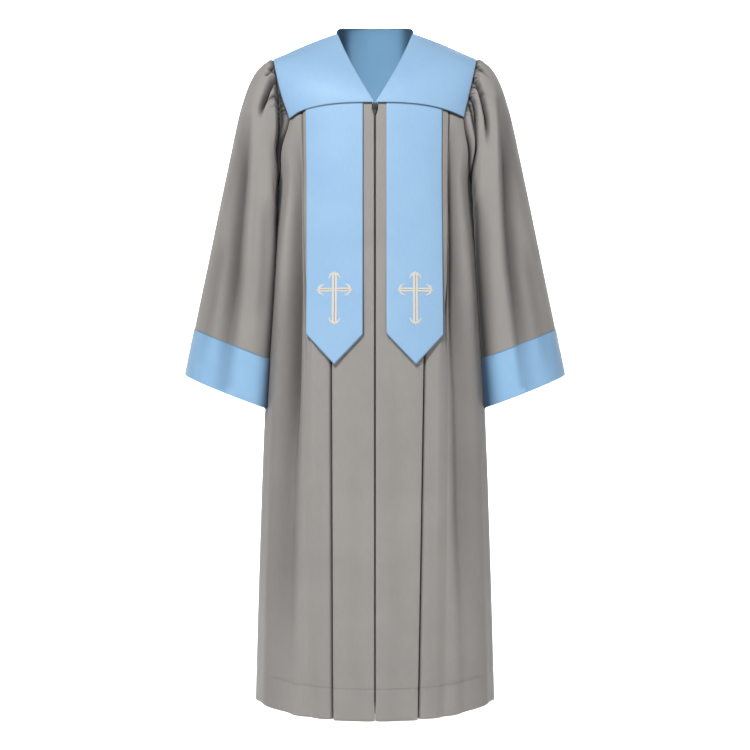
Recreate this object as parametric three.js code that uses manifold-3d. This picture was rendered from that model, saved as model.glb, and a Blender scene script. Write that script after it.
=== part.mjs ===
// A full-length clergy robe, filled out as if worn: V-necked blue yoke, two stole bands that hang from
// the yoke seam, grey fronts and back with knife pleats, and bell sleeves gathered into the armholes and
// ended by deep blue cuffs.
//
// Millimetres, +Z up. The front faces -Y and the wearer's left is +X. The origin is midway between the
// two points where the neckline crosses the shoulders, where the robe hangs on its wearer.
import * as THREE from "three";
import Module from "manifold-3d";
import { mergeVertices } from "three/addons/utils/BufferGeometryUtils.js";

const wasm = await Module();
wasm.setup();

const QUARTER_TURN = Math.PI / 2;

// ---------------------------------------------------------------- driving dimensions
const SEAM_GAP = 0.3; // between two pieces that are sewn together
const ROBE_CLOTH = 1.2; // wall of the fronts and back
const SLEEVE_CLOTH = 1.4;
const YOKE_CLOTH = 2.4; // two layers
const STOLE_CLOTH = 1.2;
const HEM_EXTRA = 1; // the turned-up layer inside the hem
const HEM_DEPTH = 60;

const NECK_HALF_WIDTH = 75;
const NECK_BACK = { depth: 72, rise: 27 }; // how far the back neckline sits behind and above the origin
const V_BOW = 6; // how far the V edge bows away from a straight line
const V_FALL = 1.6; // how quickly the V edge comes forward from the shoulder
const BACK_NECK_SHARE = 0.22; // of the back yoke's width, for each shoulder
const BACK_FULLNESS = { side: 1, middle: 0.4 }; // how much of the side edges' bow the back yoke takes up
const YOKE_GRID = { rows: 9, frontColumns: 11, backColumns: 23 };
const SHOULDER = { x: 202, z: -54 }; // outer end of the shoulder line
const SHOULDER_BOW = 3; // rise of the shoulder line over its chord
const YOKE_SEAM = { z: -158.5, fall: 22.5 }; // height at centre front, and fall to the armhole
const ARMHOLE = { halfDepth: 80, centreZ: -181, underarmZ: -306 };
const HEM = { z: -1338, sideRise: 9 };

const STOLE = { inner: 22, outer: 132, cornerZ: -604, tipZ: -662, lift: 5, standOff: 0.7 };
const STOLE_GRID = { rows: 15, columns: 7 };
const CROSS = {
  s: 77, // distance of its middle from the centre line
  z: -519,
  up: 35.5,
  down: 67,
  reach: 34,
  barHalf: 4.6,
  armHalf: 3.8,
  height: 1,
  standOff: 0.5,
  budLength: 22, // from a tip to where the plain bar begins
  armBudLength: 20,
};

const FRONT_EDGE = {
  half: 1.4, // of the gap between the two fronts
  notchHalf: 5.6, // of the gap beside the zip's slider
  notchEnd: -172,
  closedFrom: -184,
  returns: 6, // depth to which each edge turns in
};
// The rounded front edge from inside to outside: distance from the edge, depth into the robe, and how far
// its lower end is lifted.
const EDGE_COLUMNS = [
  { edge: 0, depth: FRONT_EDGE.returns, rise: 8 },
  { edge: 0, depth: 1.2, rise: 8 },
  { edge: 1.8, depth: 0, rise: 5 },
  { edge: 8, depth: 0, rise: 1 },
];
const ZIP = { halfWidth: 12, top: -160, bottom: -1324, thickness: 1, inset: 6.5 };

// ---------------------------------------------------------------- the body of the robe, section by section
// middle is the Y of the widest line, front and back are how far the section reaches from Y = 0.
const BODY_SECTIONS = [
  { z: -100, halfWidth: 209, front: 112, back: 112, middle: 0, squareness: 2.5 },
  { z: -150, halfWidth: 208, front: 117, back: 119, middle: 0, squareness: 2.5 },
  { z: -181, halfWidth: 206, front: 120, back: 121, middle: 0, squareness: 2.5 },
  { z: -250, halfWidth: 197, front: 125, back: 125, middle: -6, squareness: 2.5 },
  { z: -306, halfWidth: 191, front: 128, back: 128, middle: -14, squareness: 2.5 },
  { z: -450, halfWidth: 200, front: 132, back: 134, middle: -22, squareness: 2.45 },
  { z: -750, halfWidth: 218, front: 142, back: 148, middle: -22, squareness: 2.35 },
  { z: -1050, halfWidth: 230, front: 152, back: 160, middle: -10, squareness: 2.2 },
  { z: -1350, halfWidth: 239.5, front: 163, back: 172, middle: 4, squareness: 2 },
];
const QUARTER_STEPS = 64;

// Knife pleats to either side of centre, front and back. at and foot are their fold's distance from
// centre at the yoke and at the hem, and underlap is how much cloth turns back beneath it.
const PLEATS = [
  { at: 87, foot: 86, underlap: 24 },
  { at: 144, foot: 156, underlap: 20 },
];
const PLEAT_STEP = { top: 4.6, hem: 8 };
const PLEAT_START = 0.38; // of the way from centre to the first fold, where the cloth begins to turn in

// Soft troughs beside the pleats. depth is at the hem, and share is the part of it left at the yoke.
const FLUTES = [
  { at: 158, foot: 184, width: 13, depth: 7, share: 0.55 },
  { at: 172, foot: 236, width: 20, depth: -5, share: 0.2 },
  { at: 186, foot: 284, width: 19, depth: 5, share: 0 },
];
const FLUTE_SPREAD = { top: 0.6, hem: 1.6 }; // of a trough's width
const FLUTE_START = 0.12; // of the way down, where the troughs are fully there
const FLUTE_SIDE = { from: 0.02, to: 0.3 }; // of the way to the side seam, over which they come in

const NOTCH_ROWS = [0.0115, 0.0215]; // where the front opening widens for the zip's slider
const PANEL_ROWS = [0.05, 0.11, 0.19, 0.29, 0.41, 0.54, 0.67, 0.8, 0.9];
const ARMHOLE_COLUMNS = 7; // from the yoke's corner to the underarm, of the panels and of the sleeves
const HEM_STEP = 0.001; // half the height over which the turned-up layer begins, as a share

// ---------------------------------------------------------------- the sleeve, ring by ring
// From the head of the sleeve to the cuff seam. outer and inner are the ring's top and underarm points in
// the XZ plane, c is its middle, front and back its reach along Y, lean the shift of its underarm point
// along Y, and gather the depth of the puckers drawn up into the armhole.
const SLEEVE_RINGS = [
  {
    outerX: 208, outerZ: -52, innerX: 193, innerZ: -318,
    cX: 180, cZ: -181, front: -84, back: 85, lean: -12, gather: 3,
  },
  {
    outerX: 215, outerZ: -56, innerX: 193, innerZ: -331,
    cX: 194, cZ: -186, front: -89, back: 91, lean: -10, gather: 4,
  },
  {
    outerX: 233, outerZ: -72, innerX: 194, innerZ: -343,
    cX: 207, cZ: -197, front: -94, back: 98, lean: -8, gather: 3.6,
  },
  {
    outerX: 252, outerZ: -106, innerX: 194, innerZ: -360,
    cX: 219, cZ: -223, front: -98, back: 105, lean: -5, gather: 2.4,
  },
  {
    outerX: 270, outerZ: -161, innerX: 195, innerZ: -380,
    cX: 231, cZ: -264, front: -101, back: 111, lean: -2, gather: 1.2,
  },
  {
    outerX: 288, outerZ: -240, innerX: 196, innerZ: -418,
    cX: 242, cZ: -323, front: -101, back: 116, lean: 0, gather: 0.4,
  },
  {
    outerX: 309, outerZ: -340, innerX: 198, innerZ: -476,
    cX: 253, cZ: -405, front: -99, back: 120, lean: 0, gather: 0,
  },
  {
    outerX: 333, outerZ: -456, innerX: 203, innerZ: -555,
    cX: 268, cZ: -505.5, front: -97, back: 123, lean: 0, gather: 0,
  },
  {
    outerX: 361, outerZ: -589, innerX: 208, innerZ: -652,
    cX: 284.5, cZ: -620.5, front: -96, back: 126, lean: 0, gather: 0,
  },
];
const CUFF_END = {
  outerX: 380, outerZ: -681, innerX: 212, innerZ: -750,
  cX: 296, cZ: -715.5, front: -98, back: 129, lean: 0, gather: 0,
};
const RING_ROUNDNESS = 2.2;
const GATHERS = 26; // puckers over the upper half of each armhole, where the yoke is
const GATHERED_HALF_ANGLE = QUARTER_TURN;
const UNDERARM_TURN = 0.8; // how far the seam's edge turns towards the robe under the arm
const CUFF_COLUMNS = 40;
const CUFF_PROUD = 0.6; // how far the cuff stands out from the sleeve
const PUCKERS = { least: 0.7, varies: 0.3, phase: 2.3, fadeAngle: 0.3 }; // shares of a ring's gather
const BODY_CLEARANCE = 1.4; // between a sleeve and the side of the robe that it lies against

// Long soft troughs down the sleeve, in degrees from the top line of the arm towards the front.
const FOLD_FADES = { before: 0.08, in: 0.1, out: 0.1, after: 0.12 };
const SLEEVE_FOLDS = [
  { angle: 38, drift: -8, width: 12, depth: 6, from: 0.1, to: 0.62 },
  { angle: 72, drift: 4, width: 13, depth: 9, from: 0.06, to: 1 },
  { angle: 118, drift: 0, width: 13, depth: 7, from: 0.12, to: 1 },
  { angle: -45, drift: 6, width: 14, depth: 7, from: 0.08, to: 0.85 },
  { angle: -92, drift: 0, width: 15, depth: 8, from: 0.1, to: 1 },
];

// ---------------------------------------------------------------- small helpers
const { lerp, clamp, smoothstep } = THREE.MathUtils;
const point = (x, y, z) => new THREE.Vector3(x, y, z);
const signedPower = (value, power) => Math.sign(value) * Math.abs(value) ** power;
const bump = (distance, width) => Math.exp(-((distance / width) ** 2));

// A smooth value of one column of a table whose rows are sorted by falling z.
function column(rows, key, z) {
  let i = rows.findIndex((row) => row.z <= z);
  i = clamp(i < 0 ? rows.length - 1 : i, 1, rows.length - 1);
  const [a, b] = [rows[i - 1], rows[i]];
  const slope = (p, q) => (q[key] - p[key]) / (q.z - p.z);
  const before = slope(rows[Math.max(i - 2, 0)], b);
  const after = slope(a, rows[Math.min(i + 1, rows.length - 1)]);
  const span = b.z - a.z;
  const t = (z - a.z) / span;
  const [t2, t3] = [t * t, t * t * t];
  return (
    a[key] * (2 * t3 - 3 * t2 + 1) +
    before * span * (t3 - 2 * t2 + t) +
    b[key] * (3 * t2 - 2 * t3) +
    after * span * (t3 - t2)
  );
}

// ---------------------------------------------------------------- the robe's base surface
// side is -1 for the front and 1 for the back. A quarter runs from the centre line to the widest line.
const quarterCache = new Map();
function quarter(z, side) {
  const key = `${z.toFixed(3)},${side}`;
  if (quarterCache.has(key)) return quarterCache.get(key);
  const halfWidth = column(BODY_SECTIONS, "halfWidth", z);
  const middle = column(BODY_SECTIONS, "middle", z);
  const reach = column(BODY_SECTIONS, side < 0 ? "front" : "back", z);
  const depth = reach - side * middle;
  const squareness = column(BODY_SECTIONS, "squareness", z);
  const points = [];
  const lengths = [0];
  for (let i = 0; i <= QUARTER_STEPS; i++) {
    const angle = (i / QUARTER_STEPS) * QUARTER_TURN;
    const x = halfWidth * Math.sin(angle) ** (2 / squareness);
    const y = middle + side * depth * Math.max(Math.cos(angle), 0) ** (2 / squareness);
    points.push(new THREE.Vector2(x, y));
    if (i) lengths.push(lengths[i - 1] + points[i].distanceTo(points[i - 1]));
  }
  const made = { points, lengths, halfWidth, middle, depth, squareness };
  quarterCache.set(key, made);
  return made;
}

const girth = (z, side) => quarter(z, side).lengths[QUARTER_STEPS];

// X of the section where it passes Y, and the distance along the section at which it reaches X.
function sectionX(y, z) {
  const side = y < column(BODY_SECTIONS, "middle", z) ? -1 : 1;
  const { halfWidth, middle, depth, squareness } = quarter(z, side);
  const share = Math.min(Math.abs(y - middle) / depth, 1);
  return halfWidth * (1 - share ** squareness) ** (1 / squareness);
}
function distanceAtX(x, z, side) {
  const { points, lengths } = quarter(z, side);
  const i = clamp(points.findIndex((p) => p.x >= x), 1, QUARTER_STEPS);
  const t = clamp((x - points[i - 1].x) / (points[i].x - points[i - 1].x), 0, 1);
  return lerp(lengths[i - 1], lengths[i], t);
}

// The point at a distance round the section from its centre line, moved out by `out`. hand is 1 for the
// wearer's left.
function onRobe(z, distance, out, side, hand) {
  const { points, lengths, halfWidth, middle, depth, squareness } = quarter(z, side);
  const s = Math.abs(distance);
  let i = lengths.findIndex((length) => length >= s);
  i = clamp(i < 0 ? QUARTER_STEPS : i, 1, QUARTER_STEPS);
  const t = (s - lengths[i - 1]) / (lengths[i] - lengths[i - 1]);
  const base = points[i - 1].clone().lerp(points[i], t);
  const normal = new THREE.Vector2(
    Math.max(base.x, 0) ** (squareness - 1) / halfWidth ** squareness,
    (side * Math.abs(base.y - middle) ** (squareness - 1)) / depth ** squareness,
  ).normalize();
  base.addScaledVector(normal, out);
  return point(hand * Math.sign(distance || 1) * base.x, base.y, z);
}

// ---------------------------------------------------------------- the armhole
// angle runs from the shoulder point, 0, round the front to the underarm, PI. Negative angles are the
// back half.
function armhole(angle) {
  const c = signedPower(Math.cos(angle), 2 / RING_ROUNDNESS);
  const s = signedPower(Math.sin(angle), 2 / RING_ROUNDNESS);
  const y = -ARMHOLE.halfDepth * s;
  if (c < 0) {
    const z = ARMHOLE.centreZ - c * (ARMHOLE.underarmZ - ARMHOLE.centreZ);
    const middle = column(BODY_SECTIONS, "middle", z);
    const shifted = y + middle * -c; // the underarm lies on the robe's widest line
    return point(sectionX(shifted, z), shifted, z);
  }
  const cornerX = sectionX(Math.sign(y || -1) * ARMHOLE.halfDepth, ARMHOLE.centreZ);
  return point(lerp(cornerX, SHOULDER.x, c), y, lerp(ARMHOLE.centreZ, SHOULDER.z, c));
}

// ---------------------------------------------------------------- solids from grids of points
const meshes = new THREE.Group();
function addMesh(name, geometry, material) {
  const mesh = new THREE.Mesh(geometry, material);
  mesh.name = name;
  meshes.add(mesh);
}

function signedVolume(positions, faces) {
  const [a, b, c] = [new THREE.Vector3(), new THREE.Vector3(), new THREE.Vector3()];
  let sum = 0;
  for (const [i, j, k] of faces) {
    a.copy(positions[i]);
    b.copy(positions[j]);
    c.copy(positions[k]);
    sum += a.dot(b.cross(c)) / 6;
  }
  return sum;
}

// Two matching faces and the edge between them, from one list of quads. Edges that only one quad uses are
// walled.
function slab(outer, inner, quads) {
  const count = outer.length;
  const faces = [];
  const edges = new Map();
  const quad = (a, b, c, d) => faces.push([a, b, c], [a, c, d]);
  for (const q of quads) {
    const [a, b, c, d] = q;
    quad(a, b, c, d);
    quad(a + count, d + count, c + count, b + count);
    q.forEach((from, i) => {
      const to = q[(i + 1) % 4];
      if (!edges.delete(`${to},${from}`)) edges.set(`${from},${to}`, [from, to]);
    });
  }
  for (const [from, to] of edges.values()) quad(to, from, from + count, to + count);
  const positions = [...outer, ...inner];
  if (signedVolume(positions, faces) < 0) faces.forEach((face) => face.reverse());
  const numbers = positions.flatMap((p) => p.toArray());
  return new THREE.BufferGeometry()
    .setAttribute("position", new THREE.Float32BufferAttribute(numbers, 3))
    .setIndex(faces.flat());
}

// The direction in which the cloth's outer face looks at each point of a grid, from its neighbours.
function gridNormals(grid, closed, away) {
  const rows = grid.length;
  const columns = grid[0].length;
  const along = (before, here, after) => {
    const sum = new THREE.Vector3();
    if (before) sum.add(here.clone().sub(before).normalize());
    if (after) sum.add(after.clone().sub(here).normalize());
    return sum;
  };
  return grid.map((line, r) =>
    line.map((here, c) => {
      const left = closed ? line[(c + columns - 1) % columns] : line[c - 1];
      const right = closed ? line[(c + 1) % columns] : line[c + 1];
      const across = along(left, here, right);
      const down = along(r && grid[r - 1][c], here, r < rows - 1 && grid[r + 1][c]);
      return across.cross(down).multiplyScalar(away).normalize();
    }),
  );
}

// A cloth wall over a grid, from `outer` to `inner` off the grid's points. closed joins the last column
// to the first. smooth is the same grid without its small folds, which gives steadier directions for the
// wall, and square turns the directions at an edge, so that it is cut square to its neighbour.
function clothWall(name, material, grid, options) {
  const { outer, inner, closed = false, away = 1, square = () => {}, smooth = grid } = options;
  const rows = grid.length;
  const columns = grid[0].length;
  const normals = gridNormals(smooth, closed, away);
  normals.forEach((line, r) => {
    line.forEach((normal, c) => {
      square(normal, r, c);
      normal.normalize();
    });
  });
  const offsetAt = (offset, r, c) => (typeof offset === "function" ? offset(r, c) : offset);
  const place = (p, r, c, offset) => p.clone().addScaledVector(normals[r][c], offsetAt(offset, r, c));
  const face = (offset) => grid.flatMap((line, r) => line.map((p, c) => place(p, r, c, offset)));
  const quads = [];
  for (let r = 0; r < rows - 1; r++) {
    for (let c = 0; c < (closed ? columns : columns - 1); c++) {
      const next = (c + 1) % columns;
      const [here, below] = [r * columns, (r + 1) * columns];
      quads.push([here + c, here + next, below + next, below + c]);
    }
  }
  addMesh(name, slab(face(outer), face(inner), quads), material);
}

const makeGrid = (rows, columns, at) => rows.map((v) => columns.map((u) => at(u, v)));
function evenly(count, from = 0, to = 1) {
  return Array.from({ length: count }, (_, i) => lerp(from, to, i / (count - 1)));
}

// A patch between four curves: bottom and top run with u, left and right with v.
function patch(bottom, top, left, right, fullness = () => 1) {
  return (u, v) => {
    const at = bottom(u).lerp(top(u), v);
    const leftBow = left(v).sub(left(0).lerp(left(1), v));
    const rightBow = right(v).sub(right(0).lerp(right(1), v));
    return at.addScaledVector(leftBow.lerp(rightBow, u), fullness(u));
  };
}

// ---------------------------------------------------------------- materials
const cloth = (color, roughness) => new THREE.MeshStandardMaterial({ color, roughness, metalness: 0 });
const GREY_CLOTH = cloth(0x9b9792, 0.78);
const BLUE_CLOTH = cloth(0xa3cbf0, 0.62);
const WHITE_THREAD = cloth(0xf2efe8, 0.5);
const ZIP_TAPE = cloth(0x6f6c69, 0.85);
const ZIP_METAL = new THREE.MeshStandardMaterial({ color: 0x8f8d88, roughness: 0.35, metalness: 0.9 });

const HANDS = [
  { name: "left", hand: 1 },
  { name: "right", hand: -1 },
];
const mirrored = (p, hand) => point(hand * p.x, p.y, p.z);

// ---------------------------------------------------------------- yoke
const CORNER_X = armhole(QUARTER_TURN).x; // of the yoke's corner, where its seam meets the armhole
const seamZ = (x) => YOKE_SEAM.z - YOKE_SEAM.fall * (Math.abs(x) / CORNER_X) ** 3;
function seamPoint(x, side) {
  const z = seamZ(x);
  return onRobe(z, distanceAtX(Math.abs(x), z, side) * Math.sign(x || 1), 0, side, 1);
}

function shoulderLine(t, side) {
  const bow = SHOULDER_BOW * Math.sin(Math.PI * t);
  return point(lerp(NECK_HALF_WIDTH, SHOULDER.x, t), (side * SEAM_GAP) / 2, lerp(0, SHOULDER.z, t) + bow);
}
function vEdge(t) {
  const bottom = seamPoint(FRONT_EDGE.half / 2, -1);
  const x = lerp(bottom.x, NECK_HALF_WIDTH, t) + V_BOW * Math.sin(Math.PI * t);
  const y = lerp(-SEAM_GAP / 2, bottom.y, 1 - t ** V_FALL);
  return point(x, y, lerp(bottom.z, 0, t));
}
const frontArmEdge = (t) => armhole(lerp(QUARTER_TURN, 0, t)).add(point(0, (-SEAM_GAP / 2) * t, 0));
const backArmEdge = (t) => armhole(lerp(-QUARTER_TURN, 0, t)).add(point(0, (SEAM_GAP / 2) * t, 0));

function buildYokeFronts() {
  const front = patch(
    (u) => seamPoint(lerp(FRONT_EDGE.half / 2, CORNER_X, u), -1),
    (u) => shoulderLine(u, -1),
    vEdge,
    frontArmEdge,
  );
  const rows = evenly(YOKE_GRID.rows);
  const columns = evenly(YOKE_GRID.frontColumns);
  const square = (normal, r, c) => {
    if (r === 0) normal.z = 0; // the lower edge is cut square to the robe
    if (r === rows.length - 1) normal.y = 0; // the shoulder seam stands upright
    if (c === columns.length - 1) normal.x = 0; // the armhole edge faces the sleeve
  };
  for (const { name, hand } of HANDS) {
    const grid = makeGrid(rows, columns, (u, v) => mirrored(front(u, v), hand));
    clothWall(`yoke_front_${name}`, BLUE_CLOTH, grid, { outer: YOKE_CLOTH, inner: 0, away: hand, square });
  }
}

// The back yoke's upper edge follows a shoulder, the back neckline and the other shoulder.
function backNeckEdge(u) {
  const fromMiddle = Math.abs(u - 0.5) * 2;
  const hand = u < 0.5 ? -1 : 1;
  const neckEnd = 1 - 2 * BACK_NECK_SHARE;
  if (fromMiddle > neckEnd) {
    return mirrored(shoulderLine((fromMiddle - neckEnd) / (1 - neckEnd), 1), hand);
  }
  const angle = QUARTER_TURN * (1 - fromMiddle / neckEnd);
  return point(
    hand * NECK_HALF_WIDTH * Math.cos(angle),
    SEAM_GAP / 2 + NECK_BACK.depth * Math.sin(angle),
    NECK_BACK.rise * Math.sqrt(Math.sin(angle)),
  );
}

function buildYokeBack() {
  const { side, middle } = BACK_FULLNESS;
  const back = patch(
    (u) => seamPoint(lerp(-CORNER_X, CORNER_X, u), 1),
    backNeckEdge,
    (v) => mirrored(backArmEdge(v), -1),
    backArmEdge,
    (u) => side - (side - middle) * Math.sin(Math.PI * u) ** 2,
  );
  const rows = evenly(YOKE_GRID.rows);
  const columns = evenly(YOKE_GRID.backColumns);
  const halfColumn = 0.5 / (YOKE_GRID.backColumns - 1);
  const onShoulder = (u) => Math.abs(u - 0.5) > 0.5 - BACK_NECK_SHARE - halfColumn;
  const square = (normal, r, c) => {
    if (r === 0) normal.z = 0;
    if (r === rows.length - 1 && onShoulder(columns[c])) normal.y = 0;
    if (c === 0 || c === columns.length - 1) normal.x = 0;
  };
  const grid = makeGrid(rows, columns, back);
  clothWall("yoke_back", BLUE_CLOTH, grid, { outer: YOKE_CLOTH, inner: 0, away: -1, square });
}

// ---------------------------------------------------------------- fronts and back
function edgeHalf(z) {
  const { half, notchHalf, notchEnd, closedFrom } = FRONT_EDGE;
  return lerp(half, notchHalf, clamp((z - closedFrom) / (notchEnd - closedFrom), 0, 1));
}

// One fold of a knife pleat: steps along the section from the fold, and levels into the robe. It turns
// back on itself at the fold and again at the end of its underlap.
function foldSteps(underlap) {
  const turn = 1.4;
  return [
    { along: -underlap, level: 0 },
    { along: -turn, level: 0 },
    { along: 0, level: 0.36 },
    { along: -turn, level: 0.8 },
    { along: turn - underlap, level: 0.8 },
    { along: -underlap, level: 0.9 },
    { along: turn - underlap, level: 1 },
    { along: 2, level: 1 },
  ];
}
const CORNER_SHARE = 0.34; // where the yoke's corner falls at the hem, between last pleat and side seam
// Past the fold the cloth comes back out. part is a share of the way to the next fold or to the side.
const RECOVERY = [
  { part: 0.2, level: 0.7 },
  { part: 0.5, level: 0.06 },
  { part: 0.76, level: 0 },
];

// The columns of a half panel from centre to side: at and foot are distances round the section at its top
// and hem, level is the depth in pleat steps, and rise lifts the column's lower end.
function panelColumns(side, isFront) {
  const columns = [];
  const add = (at, foot, level, extra = {}) => columns.push({ at, foot, level, ...extra });
  if (isFront) {
    EDGE_COLUMNS.forEach((edgeColumn) => add(0, 0, 0, edgeColumn));
  } else {
    add(0, 0, 0);
  }
  let [start, startFoot] = [0, 0];
  PLEATS.forEach(({ at, foot, underlap }, pleat) => {
    const first = pleat ? RECOVERY[0] : { part: PLEAT_START, level: 0 };
    add(lerp(start, at, first.part), lerp(startFoot, foot, first.part), first.level);
    for (const step of foldSteps(underlap)) add(at + step.along, foot + step.along, step.level);
    [start, startFoot] = [at, foot];
  });
  const corner = armhole(-side * QUARTER_TURN);
  const hemGirth = girth(HEM.z, side);
  const cornerFoot = lerp(startFoot, hemGirth, CORNER_SHARE);
  const cornerAt = distanceAtX(corner.x, corner.z, side);
  const toSide = (foot) => (foot - startFoot) / (hemGirth - startFoot);
  for (const { part, level } of RECOVERY) {
    const foot = lerp(startFoot, cornerFoot, part);
    add(lerp(start, cornerAt, part), foot, level, { toSide: toSide(foot) });
  }
  for (let i = 0; i <= ARMHOLE_COLUMNS; i++) {
    const share = i / ARMHOLE_COLUMNS;
    const edgeAngle = -side * lerp(QUARTER_TURN, Math.PI, share);
    const foot = lerp(cornerFoot, hemGirth, share);
    add(0, foot, 0, { edgeAngle, toSide: toSide(foot) });
  }
  return columns;
}

function fluteDepth(distance, down) {
  const spread = lerp(FLUTE_SPREAD.top, FLUTE_SPREAD.hem, down);
  return FLUTES.reduce((sum, { at, foot, width, depth, share }) => {
    const middle = lerp(at, foot, down);
    return sum + depth * lerp(share, 1, down) * bump(distance - middle, width * spread);
  }, 0);
}

function panelPoint(col, down, side, hand) {
  const toSide = col.toSide ?? 0;
  let topZ;
  let topDistance = col.at;
  if (col.edgeAngle !== undefined) {
    const edge = armhole(col.edgeAngle);
    const isCorner = col.edgeAngle === -side * QUARTER_TURN;
    topZ = edge.z - (isCorner ? SEAM_GAP : 0);
    topDistance = distanceAtX(edge.x, topZ, side);
  } else {
    topZ = seamZ(col.at) - SEAM_GAP;
  }
  const hemZ = HEM.z + HEM.sideRise * (col.foot / girth(HEM.z, side)) ** 2 + (col.rise ?? 0);
  const z = lerp(topZ, hemZ, down);
  const sideGirth = girth(z, side) - SEAM_GAP / 2;
  let distance = lerp(topDistance, col.foot, down);
  // Towards the side seam the columns share the girth that each height has.
  const topShare = topDistance / girth(topZ, side);
  const footShare = col.foot / girth(hemZ, side);
  const shared = lerp(topShare, footShare, down) * girth(z, side);
  distance = lerp(distance, shared, smoothstep(toSide, 0, CORNER_SHARE));
  if (col.edge !== undefined) distance = edgeHalf(z) + col.edge;
  distance = Math.min(distance, sideGirth);
  const step = lerp(PLEAT_STEP.top, PLEAT_STEP.hem, down);
  const comesIn = smoothstep(toSide, FLUTE_SIDE.from, FLUTE_SIDE.to) * (1 - toSide ** 4);
  const flute = fluteDepth(distance, down) * comesIn * smoothstep(down, 0, FLUTE_START);
  const inset = col.depth ?? col.level * step + flute;
  return onRobe(z, distance, -inset, side, hand);
}

// Rows run to the top of the hem, then twice more so that the turned-up layer starts with a step.
const hemShare = 1 - HEM_DEPTH / (YOKE_SEAM.z - HEM.z);
const backRows = [0, ...PANEL_ROWS, hemShare - HEM_STEP, hemShare + HEM_STEP, 1];
const frontRows = [0, ...NOTCH_ROWS, ...backRows.slice(1)];
function innerFace(rows, firstColumn) {
  return (r, c) => {
    const isHem = rows[r] > hemShare && c >= firstColumn;
    return -(ROBE_CLOTH + (isHem ? HEM_EXTRA : 0));
  };
}

function buildFronts() {
  const columns = panelColumns(-1, true);
  const inner = innerFace(frontRows, EDGE_COLUMNS.length);
  // The side seam faces the other panel.
  const square = (normal, r, c) => {
    if (c === columns.length - 1) normal.y = 0;
  };
  for (const { name, hand } of HANDS) {
    const grid = makeGrid(frontRows, columns, (col, down) => panelPoint(col, down, -1, hand));
    clothWall(`front_${name}`, GREY_CLOTH, grid, { outer: 0, inner, away: -hand, square });
  }
}

function buildBack() {
  const half = panelColumns(1, false);
  const columns = [
    ...half.slice(1).reverse().map((col) => ({ ...col, hand: -1 })),
    ...half.map((col) => ({ ...col, hand: 1 })),
  ];
  const square = (normal, r, c) => {
    if (c === 0 || c === columns.length - 1) normal.y = 0;
  };
  const grid = makeGrid(backRows, columns, (col, down) => panelPoint(col, down, 1, col.hand));
  clothWall("back", GREY_CLOTH, grid, { outer: 0, inner: innerFace(backRows, 0), away: 1, square });
}

// ---------------------------------------------------------------- stole bands and their crosses
const stoleLift = (z) => {
  const down = clamp((seamZ(STOLE.inner) - z) / (seamZ(STOLE.inner) - STOLE.tipZ), 0, 1);
  return STOLE.standOff + STOLE.lift * down ** 3;
};
const onStole = (s, z, out, hand) => onRobe(z, s, stoleLift(z) + out, -1, hand);

function buildStole(name, hand) {
  const middle = (STOLE.inner + STOLE.outer) / 2;
  const halfWidth = (STOLE.outer - STOLE.inner) / 2;
  const bottomZ = (s) => lerp(STOLE.tipZ, STOLE.cornerZ, Math.abs(s - middle) / halfWidth);
  const rows = evenly(STOLE_GRID.rows);
  const columns = evenly(STOLE_GRID.columns, STOLE.inner, STOLE.outer);
  const grid = makeGrid(rows, columns, (s, down) =>
    onStole(s, lerp(seamZ(s) - SEAM_GAP, bottomZ(s), down), 0, hand),
  );
  clothWall(`stole_${name}`, BLUE_CLOTH, grid, { outer: STOLE_CLOTH, inner: 0, away: -hand });
}

// A cross's arm ends in a pointed bud with two barbs. back is measured from the arm's tip, and half is a
// share of the arm's own half-width.
const BUD = [
  { back: 13.5, half: 1 },
  { back: 11.5, half: 2.55 },
  { back: 8.5, half: 1.7 },
  { back: 5.5, half: 1.45 },
  { back: 2.5, half: 0.8 },
  { back: 0, half: 0.14 },
];

// The cross as one sheet of quads: an upright bar, and two arms that join it between the rows beside the
// crossing.
function crossSheet() {
  const places = [];
  const quads = [];
  const addPlace = (s, z) => places.push([s, z]) - 1;
  const rows = [];
  const addRow = (z, half) => rows.push({ z, left: addPlace(-half, z), right: addPlace(half, z) });
  const { up, down, reach, barHalf, armHalf, budLength, armBudLength } = CROSS;
  for (const { back, half } of [...BUD].reverse()) addRow(-down + back, barHalf * half);
  for (const z of evenly(5, -down + budLength, -armHalf)) addRow(z, barHalf);
  const crossing = rows.length;
  addRow(armHalf, barHalf);
  addRow(up - budLength, barHalf);
  for (const { back, half } of BUD) addRow(up - back, barHalf * half);
  rows.slice(1).forEach((row, i) => {
    quads.push([rows[i].left, rows[i].right, row.right, row.left]);
  });
  for (const hand of [-1, 1]) {
    const root = hand < 0 ? "left" : "right";
    let low = rows[crossing - 1][root];
    let high = rows[crossing][root];
    for (const { back, half } of [{ back: armBudLength, half: 1 }, ...BUD]) {
      const out = hand * (reach - back);
      const nextLow = addPlace(out, -armHalf * half);
      const nextHigh = addPlace(out, armHalf * half);
      quads.push(hand > 0 ? [low, nextLow, nextHigh, high] : [nextLow, low, high, nextHigh]);
      [low, high] = [nextLow, nextHigh];
    }
  }
  return { places, quads };
}

function buildCross(name, hand) {
  const { places, quads } = crossSheet();
  const face = (out) => places.map(([s, z]) => onStole(CROSS.s + s, CROSS.z + z, STOLE_CLOTH + out, hand));
  const outer = face(CROSS.standOff + CROSS.height);
  addMesh(`cross_${name}`, slab(outer, face(CROSS.standOff), quads), WHITE_THREAD);
}

// ---------------------------------------------------------------- sleeves and cuffs
const underAngles = evenly(2 * ARMHOLE_COLUMNS + 1, GATHERED_HALF_ANGLE, 2 * Math.PI - GATHERED_HALF_ANGLE);
const sleeveAngles = [
  ...evenly(2 * GATHERS + 1, -GATHERED_HALF_ANGLE, GATHERED_HALF_ANGLE),
  ...underAngles.slice(1, -1),
];

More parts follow.
